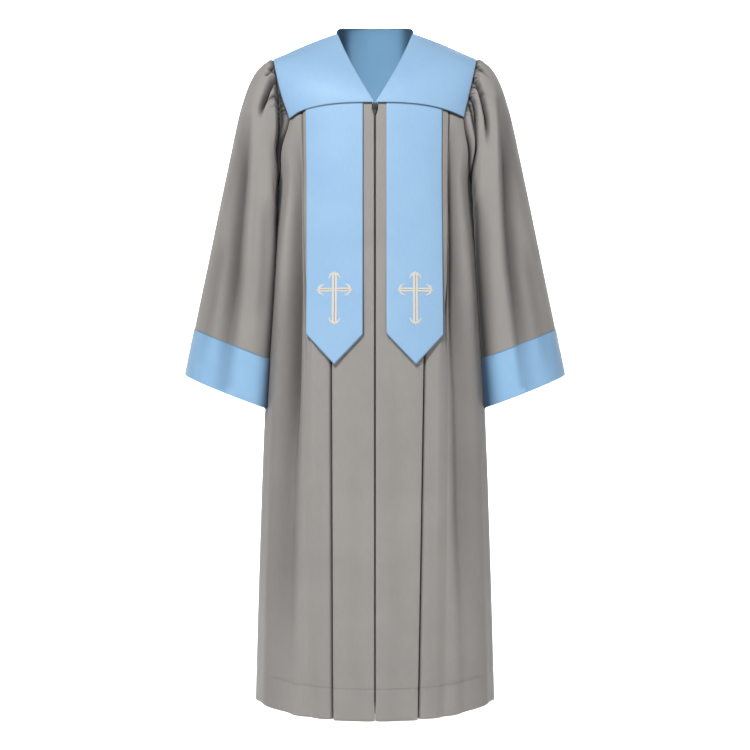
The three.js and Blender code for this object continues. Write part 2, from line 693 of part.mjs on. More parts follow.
function ringPoint(ring, angle) {
  const c = signedPower(Math.cos(angle), 2 / RING_ROUNDNESS);
  const s = signedPower(Math.sin(angle), 2 / RING_ROUNDNESS);
  const toX = c > 0 ? ring.outerX - ring.cX : ring.cX - ring.innerX;
  const toZ = c > 0 ? ring.outerZ - ring.cZ : ring.cZ - ring.innerZ;
  const middleY = (ring.front + ring.back) / 2;
  const halfY = (ring.back - ring.front) / 2;
  const lean = ring.lean * Math.max(-c, 0);
  return point(ring.cX + c * toX, middleY - s * halfY + lean, ring.cZ + c * toZ);
}

// How far the long folds draw the cloth in, at an angle round the arm and a share of the way down it.
function sleeveFoldDepth(angle, down) {
  const turn = THREE.MathUtils.radToDeg(Math.atan2(Math.sin(angle), Math.cos(angle)));
  return SLEEVE_FOLDS.reduce((sum, fold) => {
    const starts = smoothstep(down, fold.from - FOLD_FADES.before, fold.from + FOLD_FADES.in);
    const ends = smoothstep(down, fold.to - FOLD_FADES.out, fold.to + FOLD_FADES.after);
    const shown = starts * (1 - ends);
    return sum + fold.depth * shown * bump(turn - fold.angle - fold.drift * down, fold.width);
  }, 0);
}

function sleevePoint(ring, angle, index, down, hand, plain = false) {
  const base = ringPoint(ring, angle);
  const centre = point(ring.cX, (ring.front + ring.back) / 2, ring.cZ);
  const outward = base.clone().sub(centre).normalize();
  const taper = smoothstep(GATHERED_HALF_ANGLE - Math.abs(angle), 0, PUCKERS.fadeAngle);
  const uneven = PUCKERS.least + PUCKERS.varies * Math.sin(index * PUCKERS.phase);
  const pucker = ring.gather * taper * uneven * (index % 2 ? -1 : 1);
  if (!plain) base.addScaledVector(outward, pucker - sleeveFoldDepth(angle, down));
  if (base.z < ARMHOLE.centreZ) {
    base.x = Math.max(base.x, sectionX(base.y, base.z) + BODY_CLEARANCE);
  }
  return mirrored(base, hand);
}

function buildSleeve(name, hand) {
  const seamGap = point(2 * SEAM_GAP, 0, 0);
  const seam = sleeveAngles.map((angle) => mirrored(armhole(angle).add(seamGap), hand));
  const ringGrid = (plain) =>
    SLEEVE_RINGS.map((ring, r) => {
      const down = (r + 1) / SLEEVE_RINGS.length;
      return sleeveAngles.map((angle, i) => sleevePoint(ring, angle, i, down, hand, plain));
    });
  clothWall(`sleeve_${name}`, GREY_CLOTH, [seam, ...ringGrid(false)], {
    outer: 0,
    inner: -SLEEVE_CLOTH,
    closed: true,
    away: hand,
    smooth: [seam, ...ringGrid(true)],
    square: (normal, r, c) => {
      if (r === 0 && c > 2 * GATHERS) normal.x -= hand * UNDERARM_TURN;
    },
  });
}

function buildCuff(name, hand) {
  const seamRing = SLEEVE_RINGS[SLEEVE_RINGS.length - 1];
  const between = (t) => {
    const ring = {};
    for (const key of Object.keys(CUFF_END)) ring[key] = lerp(seamRing[key], CUFF_END[key], t);
    return ring;
  };
  const length = Math.hypot(CUFF_END.cX - seamRing.cX, CUFF_END.cZ - seamRing.cZ);
  const angles = evenly(CUFF_COLUMNS + 1, -Math.PI, Math.PI).slice(1);
  const grid = [SEAM_GAP / length, 0.5, 1].map((t) => {
    const ring = between(t);
    return angles.map((angle) => sleevePoint(ring, angle, 0, 1, hand));
  });
  const options = { outer: CUFF_PROUD, inner: -SLEEVE_CLOTH, closed: true, away: hand };
  clothWall(`cuff_${name}`, BLUE_CLOTH, grid, options);
}

// ---------------------------------------------------------------- zip
const ZIP_ROWS = [0, 0.02, 0.06, 0.14, 0.28, 0.46, 0.64, 0.82, 1];
const SLIDER = { top: -159.4, height: 10, halfWidth: 4.4, proud: 1.2, back: -4.6, waist: 0.55, foot: 0.7 };
const BRIDGE = { halfWidth: 0.6, bar: 1.2, clear: 1.9, top: -160, bottom: -167.4, post: 1.1, sunk: 0.5 };
const PULL = { z: -164.9, halfWidth: 2.2, length: 13, straight: 0.7, thickness: 1, curveSegments: 6 };
const PULL_SLOT = { half: 1.2, length: 6 };

const asSolid = (geometry) => {
  geometry.deleteAttribute("normal");
  geometry.deleteAttribute("uv");
  const merged = mergeVertices(geometry);
  const vertProperties = merged.attributes.position.array;
  const triVerts = new Uint32Array(merged.index.array);
  return new wasm.Manifold(new wasm.Mesh({ numProp: 3, vertProperties, triVerts }));
};
const asGeometry = (solid) => {
  const { vertProperties, triVerts } = solid.getMesh();
  return new THREE.BufferGeometry()
    .setAttribute("position", new THREE.BufferAttribute(vertProperties, 3))
    .setIndex(new THREE.BufferAttribute(triVerts, 1));
};
// A block between two corners.
function block(x, y, z) {
  const centre = [x, y, z].map(([from, to]) => (from + to) / 2);
  return new THREE.BoxGeometry(x[1] - x[0], y[1] - y[0], z[1] - z[0]).translate(...centre);
}

function buildZipTape() {
  const grid = makeGrid(ZIP_ROWS, evenly(5, -1, 1), (u, v) =>
    onRobe(lerp(ZIP.top, ZIP.bottom, v), u * ZIP.halfWidth, -ZIP.inset, -1, 1),
  );
  clothWall("zip_tape", ZIP_TAPE, grid, { outer: 0, inner: -ZIP.thickness, away: -1 });
}

const sliderFaceY = onRobe(SLIDER.top, 0, SLIDER.proud, -1, 1).y;

// The slider is a wedge that is wider above, with a bridge on its face for the pull to hang from.
function buildSlider() {
  const faceY = sliderFaceY;
  const bottom = SLIDER.top - SLIDER.height;
  const waist = SLIDER.top - SLIDER.height * SLIDER.waist;
  const footHalf = SLIDER.halfWidth * SLIDER.foot;
  const outline = new THREE.Shape();
  outline.moveTo(-SLIDER.halfWidth, SLIDER.top);
  outline.lineTo(-SLIDER.halfWidth, waist);
  outline.lineTo(-footHalf, bottom);
  outline.lineTo(footHalf, bottom);
  outline.lineTo(SLIDER.halfWidth, waist);
  outline.lineTo(SLIDER.halfWidth, SLIDER.top);
  outline.closePath();
  const bodyDepth = SLIDER.proud - SLIDER.back;
  const body = new THREE.ExtrudeGeometry(outline, { depth: bodyDepth, bevelEnabled: false })
    .rotateX(QUARTER_TURN)
    .translate(0, faceY + bodyDepth, 0);
  const barX = [-BRIDGE.halfWidth, BRIDGE.halfWidth];
  const barY = [faceY - BRIDGE.clear - BRIDGE.bar, faceY - BRIDGE.clear];
  const postY = [barY[0], faceY + BRIDGE.sunk];
  const bridge = asSolid(block(barX, barY, [BRIDGE.bottom, BRIDGE.top]))
    .add(asSolid(block(barX, postY, [BRIDGE.bottom, BRIDGE.bottom + BRIDGE.post])))
    .add(asSolid(block(barX, postY, [BRIDGE.top - BRIDGE.post, BRIDGE.top])));
  addMesh("zip_slider", asGeometry(asSolid(body).add(bridge)), ZIP_METAL);
}

// The pull hangs by the bar above its slot, which turns under the bridge.
function buildPull() {
  const half = PULL.thickness / 2;
  const straightEnd = -PULL.length * PULL.straight;
  const tab = new THREE.Shape();
  tab.moveTo(-PULL.halfWidth, half);
  tab.lineTo(-PULL.halfWidth, straightEnd);
  tab.quadraticCurveTo(-PULL.halfWidth, -PULL.length, 0, -PULL.length);
  tab.quadraticCurveTo(PULL.halfWidth, -PULL.length, PULL.halfWidth, straightEnd);
  tab.lineTo(PULL.halfWidth, half);
  tab.closePath();
  const slot = new THREE.Path();
  slot.moveTo(-PULL_SLOT.half, -half);
  slot.lineTo(-PULL_SLOT.half, -half - PULL_SLOT.length);
  slot.lineTo(PULL_SLOT.half, -half - PULL_SLOT.length);
  slot.lineTo(PULL_SLOT.half, -half);
  slot.closePath();
  tab.holes.push(slot);
  const settings = { depth: PULL.thickness, bevelEnabled: false, curveSegments: PULL.curveSegments };
  const pull = new THREE.ExtrudeGeometry(tab, settings)
    .rotateX(QUARTER_TURN)
    .translate(0, sliderFaceY - BRIDGE.clear / 2 + half, PULL.z);
  addMesh("zip_pull", pull, ZIP_METAL);
}

// ---------------------------------------------------------------- the robe
buildYokeFronts();
buildYokeBack();
buildFronts();
buildBack();
for (const { name, hand } of HANDS) {
  buildStole(name, hand);
  buildCross(name, hand);
  buildSleeve(name, hand);
  buildCuff(name, hand);
}
buildZipTape();
buildSlider();
buildPull();

export default meshes;
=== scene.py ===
import math
import random

import bpy
import numpy as np
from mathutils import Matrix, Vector


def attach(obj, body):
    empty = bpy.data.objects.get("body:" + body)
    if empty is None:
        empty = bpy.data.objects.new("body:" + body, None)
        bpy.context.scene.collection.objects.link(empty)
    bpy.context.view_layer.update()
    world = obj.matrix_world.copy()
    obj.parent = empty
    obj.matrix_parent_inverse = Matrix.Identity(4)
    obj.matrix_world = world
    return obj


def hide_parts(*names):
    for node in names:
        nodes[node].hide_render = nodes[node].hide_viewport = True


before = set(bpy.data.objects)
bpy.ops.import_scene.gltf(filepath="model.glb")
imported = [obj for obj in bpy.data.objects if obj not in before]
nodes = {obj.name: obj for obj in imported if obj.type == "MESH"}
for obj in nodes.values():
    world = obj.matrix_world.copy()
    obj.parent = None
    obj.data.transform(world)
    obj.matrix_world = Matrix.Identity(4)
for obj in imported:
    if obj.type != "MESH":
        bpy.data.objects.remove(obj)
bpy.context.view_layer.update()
mm = 0.001
halfTurn = math.pi

print("stage: camera, lights and floor")

studio = {
    "camera": (0, -3.0, -0.682), "lens": 72, "sensor": 36, "clipEnd": 60,
    "floorZ": -1.62, "floorBack": 4.0, "floorFront": -6.0, "halfWidth": 8.0,
    "sweepRadius": 1.2, "sweepSteps": 12, "sweepTop": 5.0, "paper": 0.93, "paperRoughness": 0.9,
    "worldStrength": 0.12,
    "lights": [  # name, place, the point it is turned to, size and watts
        ("key_light", (-1.05, -3.6, 2.5), (0, 0, -0.5), 0.9, 162),
        ("fill_light", (2.6, -3.6, -0.2), (0, 0, -0.8), 2.4, 14),
        ("rear_light", (0.8, 3.0, 1.2), (0, 0, -0.6), 2.0, 17),
        ("backdrop_left", (-0.9, 3.0, 2.3), (-0.9, 5.2, -0.5), 2.4, 240),
        ("backdrop_right", (0.9, 3.0, 2.3), (0.9, 5.2, -0.5), 2.4, 240),
    ],
}


def deselectAll():
    if bpy.context.object and bpy.context.object.mode != "OBJECT":
        bpy.ops.object.mode_set(mode="OBJECT")
    bpy.ops.object.select_all(action="DESELECT")


def makeActive(piece):
    deselectAll()
    piece.select_set(True)
    bpy.context.view_layer.objects.active = piece


def addCamera():
    bpy.ops.object.camera_add(location=studio["camera"], rotation=(halfTurn / 2, 0, 0))
    camera = bpy.context.object
    camera.name = "studio_camera"
    camera.data.lens = studio["lens"]
    camera.data.sensor_width = studio["sensor"]
    camera.data.clip_end = studio["clipEnd"]
    bpy.context.scene.camera = camera


def addLights():
    for name, place, aim, size, watts in studio["lights"]:
        turn = (Vector(aim) - Vector(place)).to_track_quat("-Z", "Y").to_euler()
        bpy.ops.object.light_add(type="AREA", location=place, rotation=turn)
        lamp = bpy.context.object
        lamp.name = name
        lamp.data.size = size
        lamp.data.energy = watts
    world = bpy.data.worlds.new("studio_world")
    world.use_nodes = True
    sky = world.node_tree.nodes["Background"]
    sky.inputs["Color"].default_value = (1, 1, 1, 1)
    sky.inputs["Strength"].default_value = studio["worldStrength"]
    bpy.context.scene.world = world
    bpy.context.scene.view_settings.view_transform = "Standard"


def addFloor():
    # One plane whose far edge is extruded up round a quarter circle, so that floor and backdrop are one pale sweep.
    deselectAll()
    depth = studio["floorBack"] - studio["floorFront"]
    middleY = (studio["floorBack"] + studio["floorFront"]) / 2
    bpy.ops.mesh.primitive_plane_add(size=1, location=(0, middleY, studio["floorZ"]))
    floor = bpy.context.object
    floor.name = "floor"
    floor.scale = (2 * studio["halfWidth"], depth, 1)
    bpy.ops.object.transform_apply(location=True, rotation=False, scale=True)
    bpy.ops.object.mode_set(mode="EDIT")
    bpy.ops.mesh.select_mode(type="EDGE")
    bpy.ops.mesh.select_all(action="DESELECT")
    bpy.ops.object.mode_set(mode="OBJECT")
    for edge in floor.data.edges:
        ends = [floor.data.vertices[i].co.y for i in edge.vertices]
        edge.select = min(ends) > studio["floorBack"] - 0.01
    bpy.ops.object.mode_set(mode="EDIT")
    radius, steps = studio["sweepRadius"], studio["sweepSteps"]
    for step in range(steps):
        before, after = (halfTurn / 2 * step / steps, halfTurn / 2 * (step + 1) / steps)
        shift = (0, radius * (math.sin(after) - math.sin(before)), radius * (math.cos(before) - math.cos(after)))
        bpy.ops.mesh.extrude_region_move(TRANSFORM_OT_translate={"value": shift})
    bpy.ops.mesh.extrude_region_move(TRANSFORM_OT_translate={"value": (0, 0, studio["sweepTop"])})
    bpy.ops.object.mode_set(mode="OBJECT")
    bpy.ops.object.shade_smooth()
    paper = bpy.data.materials.new("studio_paper")
    paper.use_nodes = True
    shader = paper.node_tree.nodes["Principled BSDF"]
    shader.inputs["Base Color"].default_value = (*[studio["paper"]] * 3, 1)
    shader.inputs["Roughness"].default_value = studio["paperRoughness"]
    floor.data.materials.append(paper)


addCamera()
addLights()
addFloor()

# The robe's form has the same sections, seams and rings as its solids. A section is a rounded square, split at the Y
# of its widest line into a front half and a back half.

robe = {
    "z": (-100, -150, -181, -250, -306, -450, -750, -1050, -1350),
    "halfWidth": (209, 208, 206, 197, 191, 200, 218, 230, 239.5),
    "front": (112, 117, 120, 125, 128, 132, 142, 152, 163),
    "back": (112, 119, 121, 125, 128, 134, 148, 160, 172),
    "middle": (0, 0, 0, -6, -14, -22, -22, -10, 4),
    "squareness": (2.5, 2.5, 2.5, 2.5, 2.5, 2.45, 2.35, 2.2, 2),
}
neck = {"halfWidth": 75, "backDepth": 72, "backRise": 27, "bow": 6, "ease": 1.6}
shoulder = {"x": 202, "z": -54, "bow": 3}
seam = {"z": -158.5, "fall": 22.5, "gap": 0.3}
hole = {"halfDepth": 80, "centreZ": -181, "underarmZ": -306}
hem = {"z": -1338, "sideRise": 9, "cornerRise": 10, "cornerShare": 0.76, "cornerWidth": 0.15, "depth": 60}


def mix(a, b, t):
    return a + (b - a) * t


def smoothStep(value, low, high):
    t = np.clip((value - low) / (high - low), 0, 1)
    return t * t * (3 - 2 * t)


def bump(distance, width):
    return np.exp(-((distance / width) ** 2))


def signedPower(value, power):
    return np.sign(value) * np.abs(value) ** power


def smoothCurve(knots, values, at):
    # A smooth curve through the values at the knots, with slopes taken from their neighbours.
    knots, values, at = (np.asarray(each, float) for each in (knots, values, at))
    falling = -1 if knots[0] > knots[-1] else 1
    last = len(knots) - 1
    i = np.clip(np.searchsorted(falling * knots, falling * at), 1, last)
    before, after = np.maximum(i - 2, 0), np.minimum(i + 1, last)
    shape = at.shape + (1,) * (values.ndim - 1)

    def between(a, b):
        return np.reshape(knots[a] - knots[b], shape)

    span = between(i, i - 1)
    t = np.reshape(at - knots[i - 1], shape) / span
    slopeIn = (values[i] - values[before]) / between(i, before)
    slopeOut = (values[after] - values[i - 1]) / between(after, i - 1)
    return (
        values[i - 1] * (2 * t**3 - 3 * t**2 + 1) + slopeIn * span * (t**3 - 2 * t**2 + t)
        + values[i] * (3 * t**2 - 2 * t**3) + slopeOut * span * (t**3 - t**2)
    )


def alongTable(table, key, at):
    return smoothCurve(table["z"], table[key], at)


def sectionAt(z, side):
    middle = alongTable(robe, "middle", z)
    reach = alongTable(robe, "front" if side < 0 else "back", z)
    return {
        "halfWidth": alongTable(robe, "halfWidth", z),
        "middle": middle,
        "depth": reach - side * middle,
        "squareness": alongTable(robe, "squareness", z),
    }


def sectionPoint(section, angle, side):
    power = 2 / section["squareness"]
    x = section["halfWidth"] * np.sin(angle) ** power
    y = section["middle"] + side * section["depth"] * np.maximum(np.cos(angle), 0) ** power
    return x, y


measuring = {"from": -1400.0, "to": -60.0, "step": 4.0, "angles": 241}
levels = np.arange(measuring["from"], measuring["to"], measuring["step"])
quarterAngles = np.linspace(0, halfTurn / 2, measuring["angles"])


def runningSum(steps, axis=0):
    # 0, then the sum of the steps so far.
    return np.insert(np.cumsum(steps, axis=axis), 0, 0, axis=axis)


def measureSections(side):
    x, y = sectionPoint(sectionAt(levels[:, None], side), quarterAngles[None, :], side)
    lengths = runningSum(np.hypot(np.diff(x, axis=1), np.diff(y, axis=1)), 1)
    shares = np.linspace(0, 1, len(quarterAngles))
    angleAtShare = np.array([np.interp(shares, row / row[-1], quarterAngles) for row in lengths])
    return {"lengths": lengths, "angleAtShare": angleAtShare}


measured = {side: measureSections(side) for side in (-1, 1)}


def lookUp(table, z, share):
    z, share = np.broadcast_arrays(np.asarray(z, float), np.asarray(share, float))
    row = np.clip((z - levels[0]) / (levels[1] - levels[0]), 0, len(levels) - 1.001)
    place = np.clip(share, 0, 1) * (table.shape[1] - 1)
    r = row.astype(int)
    c = np.minimum(place.astype(int), table.shape[1] - 2)
    lower = mix(table[r, c], table[r, c + 1], place - c)
    upper = mix(table[r + 1, c], table[r + 1, c + 1], place - c)
    return mix(lower, upper, row - r)


def girth(z, side):
    return np.interp(z, levels, measured[side]["lengths"][:, -1])


def sectionX(y, z):
    middle = alongTable(robe, "middle", z)
    isFront = y < middle
    depth = np.where(isFront, alongTable(robe, "front", z) + middle, alongTable(robe, "back", z) - middle)
    squareness = alongTable(robe, "squareness", z)
    share = np.minimum(np.abs(y - middle) / depth, 1)
    return alongTable(robe, "halfWidth", z) * (1 - share**squareness) ** (1 / squareness)


def distanceAtX(x, z, side):
    section = sectionAt(z, side)
    ratio = np.clip(x / section["halfWidth"], 0, 1)
    angle = np.arcsin(ratio ** (section["squareness"] / 2))
    return lookUp(measured[side]["lengths"], z, angle / (halfTurn / 2))


def onRobe(z, distance, out, side, hand=1):
    # The point at a distance round the section from its centre line, moved out by `out`.
    z, distance, out = np.broadcast_arrays(
        np.asarray(z, float), np.asarray(distance, float), np.asarray(out, float)
    )
    angle = lookUp(measured[side]["angleAtShare"], z, np.abs(distance) / girth(z, side))
    section = sectionAt(z, side)
    x, y = sectionPoint(section, angle, side)
    power = section["squareness"]
    normalX = np.maximum(x, 0) ** (power - 1) / section["halfWidth"] ** power
    normalY = side * np.abs(y - section["middle"]) ** (power - 1) / section["depth"] ** power
    size = np.hypot(normalX, normalY)
    turned = np.where(distance < 0, -hand, hand)
    return np.stack([turned * (x + out * normalX / size), y + out * normalY / size, z], axis=-1)


def armhole(angle):
    # angle runs from the shoulder point, 0, round the front to the underarm. Negative angles are the back half.
    angle = np.asarray(angle, float)
    c = signedPower(np.cos(angle), 2 / sleeve["roundness"])
    y = -hole["halfDepth"] * signedPower(np.sin(angle), 2 / sleeve["roundness"])
    belowZ = np.minimum(hole["centreZ"] - c * (hole["underarmZ"] - hole["centreZ"]), hole["centreZ"])
    shifted = y - c * alongTable(robe, "middle", belowZ)
    cornerX = sectionX(np.where(y > 0, 1, -1) * hole["halfDepth"], hole["centreZ"])
    under = c < 0
    return np.stack([
        np.where(under, sectionX(shifted, belowZ), mix(cornerX, shoulder["x"], c)),
        np.where(under, shifted, y),
        np.where(under, belowZ, mix(hole["centreZ"], shoulder["z"], c)),
    ], axis=-1)


# Rings from the armhole to the cuff: outer and inner are a ring's top and underarm, front and back its reach in Y, and
# lean and pressedIn how far its lower half leans forward and its front is pressed in towards the robe.
sleeve = {
    "roundness": 2.2,
    "outerX": (208, 215, 233, 252, 270, 288, 309, 333, 361, 380),
    "outerZ": (-52, -56, -72, -106, -161, -240, -340, -456, -589, -681),
    "innerX": (193, 193, 194, 194, 195, 196, 198, 203, 208, 212),
    "innerZ": (-318, -331, -343, -360, -380, -418, -476, -555, -652, -750),
    "middleX": (180, 194, 207, 219, 231, 242, 253, 268, 284.5, 296),
    "middleZ": (-181, -186, -197, -223, -264, -323, -405, -505.5, -620.5, -715.5),
    "front": (-84, -89, -94, -98, -101, -101, -99, -97, -96, -98),
    "back": (85, 91, 98, 105, 111, 116, 120, 123, 126, 129),
    "lean": (-12, -10, -8, -5, -2, 0, 0, 0, 0, 0),
    "pressedIn": (0, 0, 0, 1, 2, 4, 5, 6, 6, 6),
    "boxyFrom": 3, "boxyEnd": 12, "boxyFades": 5, "pressedShare": 1.4, "clearance": 1.4, "cloth": 0.6,
}

joinWithin = 0.02  # the two ends of a sheet that goes all the way round


def setTone(mesh, name, values):
    # A value at each vertex, which the materials read.
    tone = mesh.attributes.new(name, "FLOAT", "POINT")
    tone.data.foreach_set("value", np.asarray(values, np.float32))


def makeSheet(name, grid, flat, thickness, shade, flip=False, closed=False, sharpest=50, innerShade=None):
    # A flat grid whose vertices are carried to their places on the garment, then given the cloth's thickness.
    # flat is the place of each vertex on the cut cloth, which becomes the UV map in metres, and shade is painted shade,
    # how much darker the cloth is painted in its deep creases, along its seams and edges and beside the sleeves;
    # innerShade is painted shade for the inner face alone.
    grid = settle(grid)
    rows, columns = grid.shape[:2]
    deselectAll()
    bpy.ops.mesh.primitive_grid_add(x_subdivisions=columns - 1, y_subdivisions=rows - 1, size=1, calc_uvs=True)
    piece = bpy.context.object
    piece.name = name
    mesh = piece.data
    mesh.name = name
    places = np.empty(len(mesh.vertices) * 3)
    mesh.vertices.foreach_get("co", places)
    places = places.reshape(-1, 3) + 0.5
    column = np.rint(places[:, 0] * (columns - 1)).astype(int)
    row = np.rint(places[:, 1] * (rows - 1)).astype(int)
    mesh.vertices.foreach_set("co", (grid[row, column] * mm).ravel())
    corners = np.empty(len(mesh.loops), int)
    mesh.loops.foreach_get("vertex_index", corners)
    uv = flat[row, column][corners] * mm
    mesh.uv_layers.active.data.foreach_set("uv", uv.ravel())
    setTone(mesh, "shade", np.clip(shade, 0, 1)[row, column])
    mesh.update()
    bpy.ops.object.mode_set(mode="EDIT")
    bpy.ops.mesh.select_all(action="SELECT")
    if closed:
        bpy.ops.mesh.remove_doubles(threshold=joinWithin * mm)
    if flip:
        bpy.ops.mesh.flip_normals()
    bpy.ops.object.mode_set(mode="OBJECT")
    wall = piece.modifiers.new("cloth", "SOLIDIFY")
    wall.thickness = thickness * mm
    wall.offset = -1
    outerCount = len(mesh.vertices)
    bpy.ops.object.modifier_apply(modifier="cloth")
    mesh = piece.data
    # The inner face is marked, for the painted light that the materials give it.
    setTone(mesh, "inside", np.arange(len(mesh.vertices)) >= outerCount)
    if innerShade is not None:
        values = np.empty(len(mesh.vertices), np.float32)
        mesh.attributes["shade"].data.foreach_get("value", values)
        values[outerCount:] = np.maximum(values[outerCount:], innerShade[row, column])
        mesh.attributes["shade"].data.foreach_set("value", values)
    bpy.ops.object.shade_smooth_by_angle(angle=math.radians(sharpest))
    return piece


# Where the cloth has settled a little off the pattern round the front of each armhole: place and reach in XZ, and the
# shift there.
settled = [
    {"x": -176, "z": -181, "reachX": 22, "reachZ": 30, "by": (6, -3)},
    {"x": -181, "z": -243, "reachX": 20, "reachZ": 36, "by": (-8, 0)},
    {"x": 180, "z": -240, "reachX": 20, "reachZ": 36, "by": (7, 0)},
]
frontOnly = (15, 45)  # the shift comes in between these distances in front of the arms

def settle(grid):
    x, y, z = (grid[..., k].copy() for k in range(3))
    for place in settled:
        near = bump(x - place["x"], place["reachX"]) * bump(z - place["z"], place["reachZ"])
        near = near * smoothStep(-y, *frontOnly)
        grid[..., 0] += near * place["by"][0]
        grid[..., 2] += near * place["by"][1]
    return grid


def flatPlaces(grid):
    # How far each vertex lies along its row and down its column, measured over the cloth.
    across = np.linalg.norm(np.diff(grid, axis=1), axis=2)
    down = np.linalg.norm(np.diff(grid, axis=0), axis=2)
    u, v = runningSum(across, 1), runningSum(down, 0)
    u = np.broadcast_to(u.mean(axis=0)[None, :], u.shape)
    return np.stack([u, v], axis=-1)


def gridNormals(grid, sign=1):
    across = np.gradient(grid, axis=1)
    down = np.gradient(grid, axis=0)
    normal = np.cross(across, down) * sign
    return normal / np.maximum(np.linalg.norm(normal, axis=2, keepdims=True), 1e-9)


def bentCurve(controls, counts):
    # A smooth line past a list of control values: it touches the middle of each step, and a doubled value is met.
    padded = np.concatenate([controls[:1], controls, controls[-1:]])
    pieces = []
    for i, count in enumerate(counts):
        t = np.linspace(0, 1, count, endpoint=False).reshape((-1,) + (1,) * (controls.ndim - 1))
        pieces.append(
            0.5 * (1 - t) ** 2 * padded[i] + (0.5 + t * (1 - t)) * padded[i + 1] + 0.5 * t**2 * padded[i + 2]
        )
    return np.concatenate(pieces + [controls[-1:]])


# Cloths and threads.

# light and dark end a cloth's random tone; then come the colour that its painted shade turns to and the painted light
# colour of its inner face.
clothLooks = {
    "grey_cloth": {
        "light": (0.40, 0.378, 0.358), "dark": (0.35, 0.331, 0.313), "deep": (0.012, 0.011, 0.01),
        "inside": (0.34, 0.32, 0.30),
        "roughness": 0.74, "sheen": 0.22, "weave": 0.00062, "relief": 0.10, "crumple": 0.07,
    },
    "blue_cloth": {
        "light": (0.385, 0.62, 0.885), "dark": (0.335, 0.565, 0.84), "deep": (0.02, 0.05, 0.10),
        "inside": (0.33, 0.66, 1.0),
        "roughness": 0.5, "sheen": 0.12, "weave": 0.00045, "relief": 0.05, "crumple": 0.06,
    },
    "cuff_cloth": {
        "light": (0.36, 0.62, 0.90), "dark": (0.31, 0.565, 0.85), "deep": (0.025, 0.065, 0.14),
        "inside": (0.33, 0.62, 0.92),
        "roughness": 0.5, "sheen": 0.12, "weave": 0.00045, "relief": 0.05, "crumple": 0.05,
    },
}
# Each thread also has the colour that its painted shade turns to.
threadLooks = {
    "white_thread": {
        "colour": (0.88, 0.865, 0.83), "edge": (0.72, 0.69, 0.63), "deep": (0.42, 0.34, 0.26),
        "roughness": 0.36, "scale": 2200,
    },
    "zip_tape": {
        "colour": (0.13, 0.126, 0.12), "edge": (0.08, 0.078, 0.075), "deep": (0.02, 0.02, 0.02),
        "roughness": 0.85, "scale": 1500,
    },
}
# What every cloth has alike: slub is the unevenness of its threads, and the shares are those of slub and mottling in
# its tone.
clothGrain = {"waveScale": 0.314, "slubStretch": (1.0, 0.12, 1.0), "slubShare": 0.35, "mottleShare": 0.65}


def setInputs(tree, node, joined=None, **inputs):
    # The values of a node's inputs, and the outputs that are joined to them.
    for name, value in inputs.items():
        node.inputs[name.replace("_", " ")].default_value = value
    for name, source in (joined or {}).items():
        tree.links.new(source, node.inputs[name])
    return node


def addNode(tree, kind, joined=None, **inputs):
    return setInputs(tree, tree.nodes.new(kind), joined, **inputs)


def addNoise(tree, place, **inputs):
    return addNode(tree, "ShaderNodeTexNoise", {"Vector": place}, **inputs).outputs["Fac"]


def addBump(tree, height, **inputs):
    return addNode(tree, "ShaderNodeBump", {"Height": height}, **inputs)


def addMath(tree, operation, *values):
    node = tree.nodes.new("ShaderNodeMath")
    node.operation = operation
    for entry, value in zip(node.inputs, values):
        if isinstance(value, float):
            entry.default_value = value
        else:
            tree.links.new(value, entry)
    return node.outputs[0]


def addRamp(tree, source, *ends):
    # Each end is its place on the ramp and its colour.
    ramp = addNode(tree, "ShaderNodeValToRGB", {"Fac": source})
    for element, (position, colour) in zip(ramp.color_ramp.elements, ends):
        element.position = position
        element.color = (*colour, 1)
    return ramp.outputs["Color"]


def turnTo(tree, plain, attribute, colour):
    # A colour that turns to another one by the value that the attribute has there.
    amount = tree.nodes.new("ShaderNodeAttribute")
    amount.attribute_name = attribute
    joined = {"Fac": amount.outputs["Fac"], "Color1": plain}
    return addNode(tree, "ShaderNodeMixRGB", joined, Color2=(*colour, 1)).outputs["Color"]


def newMaterial(name):
    made = bpy.data.materials.new(name)
    made.use_nodes = True
    tree = made.node_tree
    return made, tree, tree.nodes["Principled BSDF"], tree.nodes.new("ShaderNodeTexCoord").outputs


def clothMaterial(name):
    look = clothLooks[name]
    made, tree, shader, places = newMaterial(name)
    # Broad mottling of the dye, in object space.
    mottle = addNoise(tree, places["Object"], Scale=9.0, Detail=3.0, Roughness=0.55)
    # Warp and weft threads, along the cut cloth.
    threads = []
    for direction in ("X", "Y"):
        wave = addNode(
            tree, "ShaderNodeTexWave", {"Vector": places["UV"]}, Scale=clothGrain["waveScale"] / look["weave"],
            Distortion=0.4, Detail=1.0,
        )
        wave.bands_direction = direction
        threads.append(wave.outputs["Fac"])
    woven = addMath(tree, "MAXIMUM", *threads)
    stretch = addNode(tree, "ShaderNodeMapping", {"Vector": places["UV"]}, Scale=clothGrain["slubStretch"])
    slub = addNoise(tree, stretch.outputs["Vector"], Scale=420.0, Detail=2.0)
    spread = addMath(tree, "MULTIPLY", mottle, clothGrain["mottleShare"])
    tone = addMath(tree, "MULTIPLY_ADD", slub, clothGrain["slubShare"], spread)
    colour = addRamp(tree, tone, (0.3, look["dark"]), (0.7, look["light"]))
    # Painted light on the inner faces: the blue cloth's inside is painted brighter and bluer, and the grey cloth's
    # darker, than its outside.
    colour = turnTo(tree, colour, "inside", look["inside"])
    # Painted shade: the shade attribute turns the cloth towards a dark colour in its creases, along its seams and edges
    # and beside the sleeves.
    colour = turnTo(tree, colour, "shade", look["deep"])
    crumple = addNoise(tree, places["Object"], Scale=26.0, Detail=4.0, Roughness=0.5)
    soft = addBump(tree, crumple, Strength=look["crumple"], Distance=0.02)
    fine = addBump(tree, woven, Strength=look["relief"], Distance=0.0004)
    tree.links.new(soft.outputs["Normal"], fine.inputs["Normal"])
    setInputs(
        tree, shader, {"Base Color": colour, "Normal": fine.outputs["Normal"]}, Roughness=look["roughness"],
        Sheen_Weight=look["sheen"], Sheen_Roughness=0.5, Specular_IOR_Level=0.35,
    )
    return made


